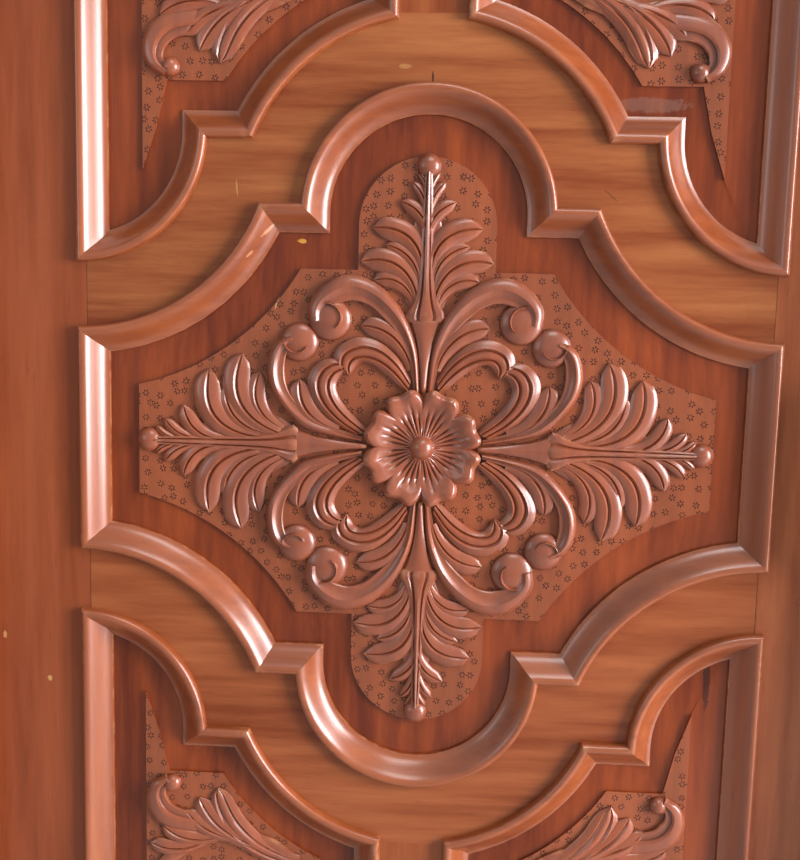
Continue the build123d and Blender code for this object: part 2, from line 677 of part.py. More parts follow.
def leaf(base, tip, bend, width, height=LEAF_HEIGHT):
    return ridged_blade(leaf_stations(base, tip, bend, width, height))


def boss(x, z, radius, height):
    """Eight-sided boss with sloping sides."""
    foot, top = FIELD_FRONT + CARVING_BED, FIELD_FRONT - height
    low, high = (
        [front(x + reach * cos(k * pi / 4), z + reach * sin(k * pi / 4), y) for k in range(8)]
        for y, reach in ((foot, radius), (top, BOSS_TAPER * radius))
    )
    sides = [polygon_face([low[k - 1], low[k], high[k], high[k - 1]]) for k in range(8)]
    return Solid(Shell([polygon_face(low), polygon_face(high)] + sides))


def rosette():
    """Round flower with keeled petals and a button."""
    parts = [boss(0.0, 0.0, BUTTON_RADIUS, BUTTON_HEIGHT)]
    for number in range(ROSETTE_PETALS):
        angle = 2 * pi * (number + 0.5) / ROSETTE_PETALS
        base, tip = ((reach * cos(angle), reach * sin(angle)) for reach in (PETAL_FOOT, ROSETTE_RADIUS))
        parts.append(leaf(base, tip, 0.0, ROSETTE_PETAL_WIDTH, ROSETTE_HEIGHT))
    return parts


# Half of a spray: base and tip from the centre (out, aside), bend and width of each lobe
SPRAY_LOBES = (
    ((134, 16), (163, 66), -0.12, 18),
    ((140, 12), (182, 83), -0.14, 25),
    ((150, 9), (212, 64), -0.18, 26),
    ((190, 5), (246, 22), -0.06, 15),
)


def spray(place, spread, reach=SPRAY_LENGTH, base=CALYX_DISTANCE):
    """Acanthus spray; place turns (out, aside) into (x, z)."""
    parts = []
    for low, high, bend, width in SPRAY_LOBES:
        for side in (1, -1):
            start, end = place(low[0], side * low[1] * spread), place(high[0], side * high[1] * spread)
            parts.append(leaf(start, end, bend * side * place.hand, width))
    rib = SPRAY_RIB_WIDTH / 2
    bud = reach - BUD_WIDTH
    calyx = base + 14
    line = ((base - 68, 1.5, 2), (base - 8, 8, 4), (base + 4, CALYX_WIDTH / 2, 5), (calyx, rib + 6, 5),
            (bud, rib, SPRAY_RIB_HEIGHT), (bud + 9, BUD_WIDTH / 2, 7), (reach - 2, 3, 3))
    parts.append(ridged_blade([(*place(out, 0), half, rise) for out, half, rise in line]))
    return parts


class Placing:
    """Turns (out, aside) into (x, z) along one of the four directions."""

    def __init__(self, out, aside):
        self.out, self.aside = out, aside
        self.hand = out[0] * aside[1] - out[1] * aside[0]

    def __call__(self, out, aside):
        return (self.out[0] * out + self.aside[0] * aside, self.out[1] * out + self.aside[1] * aside)


# Inner half leaves of the upper right quarter: base, tip, bend and width
QUARTER_LOBES = (
    ((16, 66), (67, 78), 0.42, 22),
    ((13, 82), (57, 117), 0.12, 16),
    ((66, 12), (75, 70), 0.42, 24),
    ((80, 14), (119, 56), -0.16, 20),
)


def scroll(route, eye, radius, begin, turn):
    """Stem along a few stations, wound into a volute round its eye."""
    steps = 4
    stations = [(x, z, half, STEM_HEIGHT) for x, z, half in route]
    for step in range(steps + 1):
        angle = radians(begin + turn * step / steps)
        reach = radius * (1 - VOLUTE_CLOSING * step / steps)
        half = radius / 2 * (1 - VOLUTE_CLOSING * step / steps)
        stations.append((eye[0] + reach * cos(angle), eye[1] + reach * sin(angle), half, STEM_HEIGHT))
    return [ridged_blade(stations), boss(*eye, EYE_SHARE * radius, VOLUTE_HEIGHT)]


def quarter_carving():
    """Two scrolls and two half leaves of the upper right quarter."""
    parts = [leaf(*lobe) for lobe in QUARTER_LOBES]
    parts += scroll(((5, 58, 2), (13, 102, 4), (43, 143, 9)), (92, 125), 16, 75, -215)
    parts += scroll(((58, 4, 2), (104, 14, 4), (138, 48, 7)), (123, 100), 14, -20, 230)
    return parts


def joined(parts):
    return parts[0] + parts[1:]


def centre_carving():
    """Rosette, four sprays and the scrolls of four quarters."""
    right = joined(spray(Placing((1, 0), (0, 1)), SIDE_SPRAY_SPREAD))
    top = joined(spray(Placing((0, 1), (-1, 0)), END_SPRAY_SPREAD))
    groups = [joined(rosette()), right, mirror(right, about=Plane.YZ), top, mirror(top, about=MIDDLE)]
    return groups + list(copies(joined(quarter_carving())).values())


# Lobes at the foot of the upper right panel: base, tip, bend and width
CORNER_LOBES = (
    ((128, 430), (205, 366), 0.10, 20),
    ((158, 415), (222, 377), 0.06, 18),
    ((178, 408), (231, 388), 0.04, 15),
    ((206, 405), (258, 406), 0.08, 14),
    ((220, 412), (271, 424), 0.06, 14),
)
HOOK_STATIONS = ((216, 400, 3), (246, 393, 6), (266, 373, 8), (250, 358, 5))


def ring():
    """Keeled ring that the leaves of a corner panel spring from, in two halves."""
    x, z = (FIELD_SIDE_X + FIELD_MUNTIN_X) / 2, FIELD_STEP_Z + RING_RISE
    halves = []
    for begin in (0, RING_HALF_STEPS):
        angles = [pi * (begin + k) / RING_HALF_STEPS for k in range(RING_HALF_STEPS + 1)]
        halves.append(ridged_blade([
            (x + RING_RADIUS * cos(a), z + RING_RADIUS * sin(a), RING_WIDTH / 2, RING_HEIGHT) for a in angles
        ]))
    return halves


def corner_carving():
    """Hook, leaf lobes and ring of the upper right panel."""
    hook = ridged_blade([(x, z, half, STEM_HEIGHT) for x, z, half in HOOK_STATIONS])
    ball = boss(*HOOK_STATIONS[-1][:2], HOOK_BALL_RADIUS, STEM_HEIGHT)
    return [leaf(*lobe) for lobe in CORNER_LOBES] + [hook, ball] + ring()


# Panels


def make_centre_panel():
    edge = MOULDING_LIP - GROOVE_DEPTH + GROOVE_END_PLAY
    board = slab(centre_outline(edge), PANEL_FRONT, PANEL_BACK)
    bevel = bevelled(centre_outline(MOULDING_WIDTH + BEVEL_FOOT_MARGIN), PANEL_FRONT,
                     centre_field_outline(BEVEL_TOP_MARGIN), FIELD_FOOT)
    field = slab(centre_field_outline(), FIELD_FRONT, PANEL_FRONT)
    return board + [bevel, field] + centre_carving()


def make_corner_panels():
    edge = MOULDING_LIP - GROOVE_DEPTH + GROOVE_END_PLAY
    board = slab(corner_outline(edge), PANEL_FRONT, PANEL_BACK)
    bevel = bevelled(corner_outline(MOULDING_WIDTH + BEVEL_FOOT_MARGIN), PANEL_FRONT,
                     corner_field_outline(BEVEL_TOP_MARGIN), FIELD_FOOT)
    field = slab(corner_field_outline(), FIELD_FRONT, PANEL_FRONT)
    panel = board + [bevel, field] + corner_carving()
    return {f"{place}_panel": piece for place, piece in copies(panel).items()}


# Door frame


def doorway_rectangle(reach, y):
    """Outline of the doorway between the stops, widened all round by a reach."""
    half, low, high = STOP_X + reach, STOP_LOW - reach, STOP_TOP + reach
    corners = [(-half, y, low), (half, y, low), (half, y, high), (-half, y, high)]
    return Wire.make_polygon([Vector(*corner) for corner in corners], close=True)


def doorway_cuts():
    """Doorway between the stops, rebate for the leaf and chamfer round the front."""
    ends = (FRAME_FRONT - PAST, LEAF_BACK + PAST)
    doorway = box_between((-STOP_X, STOP_X), ends, (STOP_LOW, STOP_TOP))
    rebate = box_between((-REBATE_X, REBATE_X), (STOP_BACK, ends[1]), (THRESHOLD_HEIGHT, REBATE_TOP))
    outer = doorway_rectangle(FRAME_CHAMFER + PAST, FRAME_FRONT - PAST)
    inner = doorway_rectangle(0.0, FRAME_FRONT + FRAME_CHAMFER)
    return [doorway, rebate, Solid.make_loft([outer, inner], ruled=True)]


def frame_tenon(z, play=0.0):
    """Tenon of the right jamb in the head or the threshold, or its mortise with some play."""
    middle = (REBATE_X + FRAME_HALF_WIDTH) / 2
    half_width = (FRAME_HALF_WIDTH - REBATE_X) / 4 + play
    half_depth = FRAME_TENON_DEPTH / 2 + play
    return box_between((middle - half_width, middle + half_width), (-half_depth, half_depth),
                       (z[0] - play, z[1] + play))


def fixing_holes():
    """Holes through the right jamb for the screws into the wall."""
    tools = []
    for height in FIXING_HEIGHTS:
        mouth = Plane(origin=(STOP_X, FIXING_Y, height), z_dir=(1, 0, 0))
        tools.append(Solid.make_cylinder(FIXING_HOLE_RADIUS, JAMB_WIDTH, mouth))
    return tools


def make_door_frame():
    """Two jambs, the head and the threshold."""
    cuts = doorway_cuts()
    depth, wide = (FRAME_FRONT, LEAF_BACK), (-FRAME_HALF_WIDTH, FRAME_HALF_WIDTH)
    above = (STOP_TOP, STOP_TOP + FRAME_TENON_LENGTH)
    below = (STOP_LOW - FRAME_TENON_LENGTH, STOP_LOW)
    right = box_between((STOP_X, FRAME_HALF_WIDTH), depth, (STOP_LOW, STOP_TOP)) - cuts
    right = right + [frame_tenon(above), frame_tenon(below)] - fixing_holes()
    sockets = [frame_tenon(z, TENON_PLAY) for z in (above, below)]
    sockets += [mirror(socket, about=Plane.YZ) for socket in sockets]
    return {
        "right_jamb": right,
        "left_jamb": mirror(right, about=Plane.YZ) - hinge_recesses(-1),
        "head": box_between(wide, depth, (STOP_TOP, FRAME_TOP)) - cuts - sockets,
        "threshold": box_between(wide, depth, (0.0, STOP_LOW)) - cuts - sockets,
    }


# Hinges: side is 1 for the leaf's half and -1 for the frame's half


def at_hinges(shape):
    """Copies of a shape made at height zero, one at the middle of each hinge."""
    return [Pos(0, 0, height) * shape for height in HINGE_HEIGHTS]


def hinge_side(side):
    """Range across the hinge plate that lies in the edge of the stile or of the jamb."""
    face = HINGE_X + side * SIDE_GAP / 2
    return face, face + side * HINGE_PLATE_THICKNESS


def plate(side, play=0.0):
    """Hinge plate, or its recess with some play."""
    face, sunk = hinge_side(side)
    half = HINGE_HEIGHT / 2 + play
    return box_between(sorted((face, sunk + side * play)),
                       (LEAF_BACK - HINGE_PLATE_WIDTH - play, LEAF_BACK + play), (-half, half))


def hinge_recesses(side):
    return at_hinges(plate(side, HINGE_PLATE_PLAY))


def cylinder(radius, low, high):
    """Upright cylinder round the line that the leaf swings on."""
    return Solid.make_cylinder(radius, high - low, Plane(origin=(HINGE_X, HINGE_Y, low), z_dir=(0, 0, 1)))


def knuckle(side):
    """Knuckle with the neck that joins it to its plate: the leaf's above, the frame's below."""
    low, high = sorted((side * KNUCKLE_GAP / 2, side * HINGE_HEIGHT / 2))
    neck = box_between(sorted(hinge_side(side)), (LEAF_BACK, HINGE_Y), (low, high))
    return [neck, cylinder(KNUCKLE_RADIUS, low, high)]


def make_hinges():
    """Frame and leaf halves of all hinges, each kind as one group."""
    half = HINGE_HEIGHT / 2
    frame = plate(-1) + knuckle(-1) + cylinder(PIN_RADIUS, -half, half - PIN_END_DEPTH)
    leaf = plate(1) + knuckle(1) - cylinder(PIN_RADIUS + PIN_PLAY, -half, half + PAST)
    return {
        "hinge_frame_halves": Compound(at_hinges(frame)),
        "hinge_leaf_halves": Compound(at_hinges(leaf)),
    }


# Pull handle, screwed to the face of the lock stile


def handle_plane(z, y):
    """Plane on a foot of the handle at depth y, facing the viewer."""
    return Plane(origin=front(HANDLE_X, z, y), x_dir=(1, 0, 0), z_dir=(0, -1, 0))


def make_handle():
    """Eight-sided bar with cut corners and a rose at each foot, in one piece."""
    reach = LEAF_FRONT - HANDLE_REACH
    low, high = HANDLE_FEET
    bend = HANDLE_CORNER
    route = ((low, LEAF_FRONT), (low, reach + bend), (low + bend, reach),
             (high - bend, reach), (high, reach + bend), (high, LEAF_FRONT))
    path = Polyline(*[front(HANDLE_X, z, y) for z, y in route])
    bar = sweep(handle_plane(low, LEAF_FRONT) * RegularPolygon(HANDLE_BAR_RADIUS, HANDLE_SIDES),
                path=path, transition=Transition.RIGHT)
    rose = RegularPolygon(HANDLE_ROSE_RADIUS, HANDLE_SIDES)
    roses = [extrude(handle_plane(z, LEAF_FRONT) * rose, amount=HANDLE_ROSE_THICKNESS)
             for z in HANDLE_FEET]
    return bar + roses


def main():
    os.makedirs("parts", exist_ok=True)
    nodes = {**make_door_frame(), **make_hinges(), **make_leaf_frame()}
    nodes.update({**make_mouldings(), "centre_panel": make_centre_panel(), **make_corner_panels()})
    nodes["pull_handle"] = make_handle()
    for name, shape in nodes.items():
        export_step(shape, f"parts/{name}.step")


if __name__ == "__main__":
    main()
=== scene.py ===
"""Finished look of a carved door leaf with mitred mouldings, hung in its wooden frame.

Sizes are millimetres in the leaf's own plane: x to the right, z up from the middle of the leaf
and depth y from the carved front to the back. Meshes are written in metres, in the shared frame.
"""

import json
import logging
from collections.abc import Callable
from dataclasses import dataclass, field, replace
from enum import Enum
from math import atan2, cos, hypot, pi, radians, sin, sqrt

import bpy
import bmesh
import numpy as np
from mathutils import Matrix, Vector

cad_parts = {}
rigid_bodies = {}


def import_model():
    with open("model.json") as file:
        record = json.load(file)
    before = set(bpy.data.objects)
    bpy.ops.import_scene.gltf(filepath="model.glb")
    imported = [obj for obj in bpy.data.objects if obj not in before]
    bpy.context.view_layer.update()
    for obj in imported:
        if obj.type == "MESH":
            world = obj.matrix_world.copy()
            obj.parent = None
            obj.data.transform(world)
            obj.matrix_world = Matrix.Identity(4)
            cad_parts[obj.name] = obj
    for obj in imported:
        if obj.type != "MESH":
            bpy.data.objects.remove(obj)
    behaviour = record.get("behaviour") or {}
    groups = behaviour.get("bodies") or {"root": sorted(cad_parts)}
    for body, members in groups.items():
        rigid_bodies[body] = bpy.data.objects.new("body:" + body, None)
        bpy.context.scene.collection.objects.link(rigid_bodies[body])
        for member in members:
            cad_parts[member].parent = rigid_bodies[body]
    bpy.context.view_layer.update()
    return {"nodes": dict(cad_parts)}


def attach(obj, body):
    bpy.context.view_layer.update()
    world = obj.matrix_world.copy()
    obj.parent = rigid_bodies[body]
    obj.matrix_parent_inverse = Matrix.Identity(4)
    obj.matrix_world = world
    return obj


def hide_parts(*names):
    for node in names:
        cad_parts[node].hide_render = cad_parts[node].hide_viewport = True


LOG = logging.getLogger("door")
MILLIMETRE = 0.001
Point = tuple[float, float]
Spot = tuple[float, float, float]
Colour = tuple[float, float, float]
Runs = dict[str, list[Point]]


# Sizes that several pieces share


@dataclass(frozen=True)
class Leaf:
    """Places of the leaf in millimetres, as the frame's solids have them."""

    middle_z: float = 1119.0
    front: float = 10.0
    panel_front: float = 23.4
    panel_back: float = 35.4
    field_front: float = 16.5
    field_foot: float = 19.0
    sight_x: float = 338.0
    sight_z: float = 878.0
    muntin_x: float = 32.0
    shoulder_z: float = 300.0
    shoulder_outer: float = 189.0
    shoulder_inner: float = 127.0
    arch_z: float = 224.0
    arch_inner: float = 121.5
    arch_outer: float = 180.5
    centre_step: float = 232.5
    corner_step: float = 292.0
    moulding: float = 27.0
    tongue: float = 1.5

    def metres(self, x: float, z: float, y: float) -> Vector:
        """Point of the leaf in metres, in the shared frame."""
        return Vector((x, y, z + self.middle_z)) * MILLIMETRE


LEAF = Leaf()
# Whether a quarter of the leaf lies to the left, and whether it lies below the middle
QUARTERS = {"upper_right": (False, False), "upper_left": (True, False),
            "lower_right": (False, True), "lower_left": (True, True)}


class Grain(Enum):
    """Direction in which a board's grain runs."""

    UPRIGHT = "upright"
    ACROSS = "across"


# Shader expressions


class Value:
    """A shader socket that takes part in Python expressions."""

    def __init__(self, tree: "Shader", socket: bpy.types.NodeSocket) -> None:
        """Keeps the socket and the material it belongs to."""
        self.tree = tree
        self.socket = socket

    def _join(self, operation: str, first: "Value | float", second: "Value | float") -> "Value":
        """Math node on two values."""
        return self.tree.node("ShaderNodeMath", {"operation": operation}, [first, second])

    def __add__(self, other: "Value | float") -> "Value":
        """Sum."""
        return self._join("ADD", self, other)

    def __radd__(self, other: "Value | float") -> "Value":
        """Sum with the value on the right."""
        return self._join("ADD", other, self)

    def __sub__(self, other: "Value | float") -> "Value":
        """Difference."""
        return self._join("SUBTRACT", self, other)

    def __rsub__(self, other: "Value | float") -> "Value":
        """Difference with the value on the right."""
        return self._join("SUBTRACT", other, self)

    def __mul__(self, other: "Value | float") -> "Value":
        """Product."""
        return self._join("MULTIPLY", self, other)

    def __rmul__(self, other: "Value | float") -> "Value":
        """Product with the value on the right."""
        return self._join("MULTIPLY", other, self)

    def __truediv__(self, other: "Value | float") -> "Value":
        """Quotient."""
        return self._join("DIVIDE", self, other)

    def __rtruediv__(self, other: "Value | float") -> "Value":
        """Quotient with the value on the right."""
        return self._join("DIVIDE", other, self)

    def clamped(self) -> "Value":
        """The value held between 0 and 1."""
        return self.tree.node("ShaderNodeClamp", {}, [self, 0.0, 1.0])

    def smooth(self, low: float, high: float, start: float = 0.0, end: float = 1.0) -> "Value":
        """Smooth step.

        Args:
            low: value at which the step starts.
            high: value at which the step ends.
            start: result below the step.
            end: result above the step.

        Returns:
            The mapped value.
        """
        settings = {"interpolation_type": "SMOOTHSTEP"}
        return self.tree.node("ShaderNodeMapRange", settings, [self, low, high, start, end])


class Shader:
    """A material's node tree with its Principled shader."""

    def __init__(self, name: str) -> None:
        """Starts a material.

        Args:
            name: the material's name.
        """
        self.material = bpy.data.materials.new(name)
        self.material.use_nodes = True
        self.nodes = self.material.node_tree.nodes
        self.links = self.material.node_tree.links
        self.surface = self.nodes["Principled BSDF"]
        self.place = self.node("ShaderNodeTexCoord", {}, [], "Object")

    def node(self, kind: str, settings: dict, values: list | dict, output: str | int = 0) -> Value:
        """Adds a node.

        Args:
            kind: the node's type.
            settings: attributes to set before its sockets.
            values: values or links by place, or by socket name.
            output: name or place of the output that is wanted.

        Returns:
            The output as a value.
        """
        made = self.nodes.new(kind)
        for key, value in settings.items():
            setattr(made, key, value)
        pairs = values.items() if isinstance(values, dict) else enumerate(values)
        for key, value in pairs:
            self.feed(made.inputs[key], value)
        return Value(self, made.outputs[output])

    def math(self, operation: str, *values: Value | float) -> Value:
        """Math node with a named operation."""
        return self.node("ShaderNodeMath", {"operation": operation}, list(values))

    def parts(self, vector: Value) -> tuple[Value, Value, Value]:
        """The three numbers of a vector."""
        outputs = self.node("ShaderNodeSeparateXYZ", {}, [vector]).socket.node.outputs
        return Value(self, outputs["X"]), Value(self, outputs["Y"]), Value(self, outputs["Z"])

    def feed(self, socket: bpy.types.NodeSocket, value: Value | float | tuple | None) -> None:
        """Links a value to a socket, or sets it.

        Args:
            socket: the input to feed.
            value: a link, a constant, or None for the socket's own value.
        """
        if isinstance(value, Value):
            self.links.new(value.socket, socket)
        elif value is not None:
            socket.default_value = value

    def blend(self, share: Value | float, first: Value | Colour, second: Value | Colour) -> Value:
        """Mixes two colours.

        Args:
            share: how much of the second colour.
            first: colour at share 0.
            second: colour at share 1.

        Returns:
            The mixed colour.
        """
        colours = [c if isinstance(c, Value) else (*c, 1.0) for c in (first, second)]
        values = {"Factor": share, 6: colours[0], 7: colours[1]}
        return self.node("ShaderNodeMix", {"data_type": "RGBA"}, values, 2)

    def stretched(self, scale: Spot, shift: Point = (0.0, 0.0)) -> Value:
        """Object coordinates scaled along each axis."""
        values = {"Vector": self.place, "Location": (*shift, 0.0), "Scale": scale}
        return self.node("ShaderNodeMapping", {}, values)

    def noise(self, place: Value, scale: float, detail: float = 3.0, rough: float = 0.5) -> Value:
        """Noise between 0 and 1."""
        values = {"Vector": place, "Scale": scale, "Detail": detail, "Roughness": rough}
        return self.node("ShaderNodeTexNoise", {}, values)

    def bump(self, height: Value, distance: float, strength: float = 1.0,
             below: Value | None = None) -> Value:
        """Bump from a height, on top of another bump if there is one.

        Args:
            height: height between 0 and 1.
            distance: height in metres that 1 stands for.
            strength: share of the bump that shows.
            below: the bump underneath.

        Returns:
            The bent normal.
        """
        values = {"Strength": strength, "Distance": distance, "Height": height}
        if below is not None:
            values["Normal"] = below
        return self.node("ShaderNodeBump", {}, values)

    def finish(self, colour: Value, roughness: Value, normal: Value | None,
               **constants: float) -> bpy.types.Material:
        """Feeds the Principled shader and returns the material.

        Args:
            colour: base colour.
            roughness: roughness.
            normal: bump, if the finish has one.
            constants: values that are the same all over, by socket name with _ for a space.

        Returns:
            The material.
        """
        self.feed(self.surface.inputs["Base Color"], colour)
        self.feed(self.surface.inputs["Roughness"], roughness)
        if normal is not None:
            self.feed(self.surface.inputs["Normal"], normal)
        for name, value in constants.items():
            self.surface.inputs[name.replace("_", " ")].default_value = value
        return self.material


# Finishes


@dataclass(frozen=True)
class Mark:
    """A small mark of use: an oval patch, chip, slot or scratch at a place of the leaf."""

    x: float
    z: float
    half_width: float
    half_height: float
    colour: Colour
    strength: float = 0.8
    lean: float = 0.0


@dataclass(frozen=True)
class VarnishedWood:
    """Orange-brown hardwood under a satin varnish, worn a little.

    The colours are linear. Wear lightens raised edges; painted shade darkens hollows, creases and the
    foot of the carving, and a painted sheen lightens the carving. Punched wood has stars of small
    holes on the raised field.
    """

    name: str
    grain: Grain
    light: Colour = (0.410, 0.120, 0.030)
    dark: Colour = (0.200, 0.042, 0.009)
    worn: Colour = (0.62, 0.30, 0.13)
    pore: Colour = (0.10, 0.024, 0.009)
    joint: Colour = (0.045, 0.012, 0.006)
    # Painted shade in hollows and creases.
    crease_shade: Colour = (0.050, 0.010, 0.004)
    # Painted shade at the foot of the carving.
    carving_foot_shade: Colour = (0.070, 0.014, 0.005)
    # Painted sheen on the carving.
    carving_sheen: Colour = (0.43, 0.165, 0.095)
    rubbed_field: Colour = (0.40, 0.150, 0.075)
    punch: Colour = (0.055, 0.012, 0.006)
    punch_spacing: float = 13.2
    punch_reach: float = 2.45
    wear: float = 0.0
    roughness: float = 0.34
    coat_index: float = 1.5
    shift: Point = (0.0, 0.0)
    punched: bool = False
    figure: float = 1.0
    varnish: float = 0.42
    marks: tuple[Mark, ...] = ()
    joint_x: float = 0.0

    def material(self) -> bpy.types.Material:
        """Builds the wood's material.

        Returns:
            The material.
        """
        tree = Shader(self.name)
        along = (7.0, 7.0, 0.55) if self.grain is Grain.UPRIGHT else (0.55, 7.0, 7.0)
        place = tree.stretched(along, self.shift)
        wander = tree.noise(place, 1.6, 2.0)
        streaks = tree.noise(place, 9.0, 6.0, 0.62)
        fibres = tree.noise(place, 62.0, 3.0, 0.6)
        cloud = tree.noise(tree.stretched((1.0, 1.0, 1.0), self.shift), 3.2, 2.0)
        tone = ((wander * 0.9 + streaks * 1.5 + cloud * 0.6 - 1.5) * self.figure + 0.5).clamped()
        colour = tree.blend(tone, self.dark, self.light)
        pores = fibres.smooth(0.60, 0.78)
        colour = tree.blend(pores * 0.35, colour, self.pore)
        if self.wear > 0.0:
            colour = self._wear_and_painted_light(tree, colour)
        colour = self._marked(tree, colour)
        height = fibres * 0.5 + streaks * 0.5
        normal = tree.bump(height, 0.00012, 0.45)
        if self.punched:
            colour, normal = self._stars(tree, colour, normal)
        smudge = tree.noise(tree.place, 14.0, 4.0)
        gloss = self.roughness + (smudge - 0.5) * 0.16 + pores * 0.10
        constants = {"Coat_Roughness": 0.27, "Coat_IOR": self.coat_index, "Specular_IOR_Level": 0.15}
        if self.punched:
            tree.feed(tree.surface.inputs["Coat Weight"], self._standing(tree) * 0.5 + 0.38)
        else:
            constants["Coat_Weight"] = self.varnish
        return tree.finish(colour, gloss, normal, **constants)

    def _marked(self, tree: Shader, colour: Value) -> Value:
        """Adds the marks of use and the fine dark line where a rail meets a stile.

        Args:
            tree: the wood's tree.
            colour: its colour so far.

        Returns:
            The colour with the marks.
        """
        across, _, up = tree.parts(tree.place)
        ragged = (tree.noise(tree.place, 190.0, 4.0, 0.7) - 0.5) * 2.4
        for mark in self.marks:
            dx = across * 1000.0 - mark.x
            dz = up * 1000.0 - (mark.z + LEAF.middle_z)
            turned_x = dx * cos(mark.lean) + dz * sin(mark.lean)
            turned_z = dz * cos(mark.lean) - dx * sin(mark.lean)
            wide, high = turned_x / mark.half_width, turned_z / mark.half_height
            inside = (wide * wide + high * high + ragged).smooth(0.55, 1.15, 1.0, 0.0)
            colour = tree.blend(inside * mark.strength, colour, mark.colour)
        if self.joint_x > 0.0:
            beside = tree.math("ABSOLUTE", across) * 1000.0
            line_there = beside.smooth(self.joint_x - 1.1, self.joint_x - 0.3)
            colour = tree.blend(line_there * 0.75, colour, self.joint)
        return colour

    def _behind_field(self, tree: Shader, low: float, high: float, start: float, end: float) -> Value:
        """Smooth step over two depths in millimetres behind the face of the raised field."""
        depth = tree.parts(tree.place)[1] * 1000.0 - LEAF.field_front
        return depth.smooth(low, high, start, end)

    def _standing(self, tree: Shader) -> Value:
        """1 on what stands above the raised field, else 0."""
        return self._behind_field(tree, -0.7, -0.1, 1.0, 0.0)

    def _wear_and_painted_light(self, tree: Shader, colour: Value) -> Value:
        """Lightens raised edges with wear, lightens the carving with a painted sheen, and darkens hollows
        and the feet of the carving with painted shade.

        Args:
            tree: the wood's tree.
            colour: its colour so far.

        Returns:
            The worn colour.
        """
        standing = self._standing(tree) if self.punched else 1.0
        if self.punched:
            foot = self._behind_field(tree, -3.5, -0.5, 0.0, 1.0) * standing
            # Painted sheen: all carving above the field is lightened toward a pale pink.
            colour = tree.blend(standing * 0.28, colour, self.carving_sheen)
            # Painted shade: the carving's lower walls near the field (the foot mask) are darkened as if in
            # their contact shadow.
            colour = tree.blend(foot * 0.72, colour, self.carving_foot_shade)
        bend = tree.node("ShaderNodeNewGeometry", {}, [], "Pointiness")
        patchy = tree.noise(tree.place, 95.0, 3.0).smooth(0.42, 0.72)
        colour = tree.blend(bend.smooth(0.53, 0.58) * patchy * self.wear * standing, colour, self.worn)
        # Painted shade: hollows and creases, where pointiness is low, are darkened.
        sunk = bend.smooth(0.44, 0.492, 1.0, 0.0)
        return tree.blend(sunk * 0.75 * standing, colour, self.crease_shade)

    def _stars(self, tree: Shader, colour: Value, normal: Value) -> tuple[Value, Value]:
        """Adds rings of small punched holes to the raised field.

        Args:
            tree: the wood's tree.
            colour: its colour so far.
            normal: its bump so far.

        Returns:
            The colour and the bump with the holes.
        """
        across, _, up = tree.parts(tree.place)
        flat = tree.node("ShaderNodeCombineXYZ", {}, [across * 1000.0, up * 1000.0, 0.0])
        settings = {"voronoi_dimensions": "2D", "feature": "F1"}
        values = {"Vector": flat, "Scale": 1 / self.punch_spacing, "Randomness": 0.60}
        cell = tree.node("ShaderNodeTexVoronoi", settings, values, "Position")
        x, z, _ = tree.parts(tree.node("ShaderNodeVectorMath", {"operation": "SUBTRACT"}, [flat, cell]))
        radius = tree.math("SQRT", x * x + z * z)
        own_colour = Value(tree, cell.socket.node.outputs["Color"])
        own_turn = tree.node("ShaderNodeSeparateColor", {}, [own_colour]) * 6.0
        sector = tree.math("PINGPONG", tree.math("ARCTAN2", z, x) + own_turn, pi / 6)
        side = tree.math("SINE", sector) * radius
        out = tree.math("COSINE", sector) * radius - self.punch_reach
        distance = tree.math("SQRT", side * side * 1.5 + out * out * 0.42)
        uneven = tree.noise(tree.place, 210.0, 1.0)
        on_field = (self._behind_field(tree, -0.2, -0.1, 0.0, 1.0)
                    * self._behind_field(tree, 0.06, 0.12, 1.0, 0.0))
        hole = (distance + (uneven - 0.5) * 0.5).smooth(0.48, 1.00, 1.0, 0.0) * on_field
        dented = tree.noise(tree.place, 120.0, 2.0)
        normal = tree.bump(dented * on_field, 0.0006, 0.5, normal)
        normal = tree.bump(1.0 - hole, 0.0011, 1.0, normal)
        colour = tree.blend(on_field * 0.35, colour, self.rubbed_field)
        return tree.blend(hole * 0.90, colour, self.punch), normal


@dataclass(frozen=True)
class AgedBrass:
    """Brass, dulled in its hollows and rubbed bright on its edges."""

    name: str
    bright: Colour = (0.62, 0.40, 0.13)
    dull: Colour = (0.23, 0.13, 0.05)

    def material(self) -> bpy.types.Material:
        """Builds the brass's material.

        Returns:
            The material.
        """
        tree = Shader(self.name)
        cloud = tree.noise(tree.place, 60.0, 4.0, 0.6)
        specks = tree.noise(tree.place, 420.0, 2.0)
        edge = tree.node("ShaderNodeNewGeometry", {}, [], "Pointiness").smooth(0.50, 0.56)
        share = (cloud.smooth(0.35, 0.7) * 0.7 + edge * 0.5).clamped()
        colour = tree.blend(share, self.dull, self.bright)
        normal = tree.bump(specks, 0.00008, 0.4)
        return tree.finish(colour, 0.42 - share * 0.14, normal, Metallic=1.0)


# Meshes


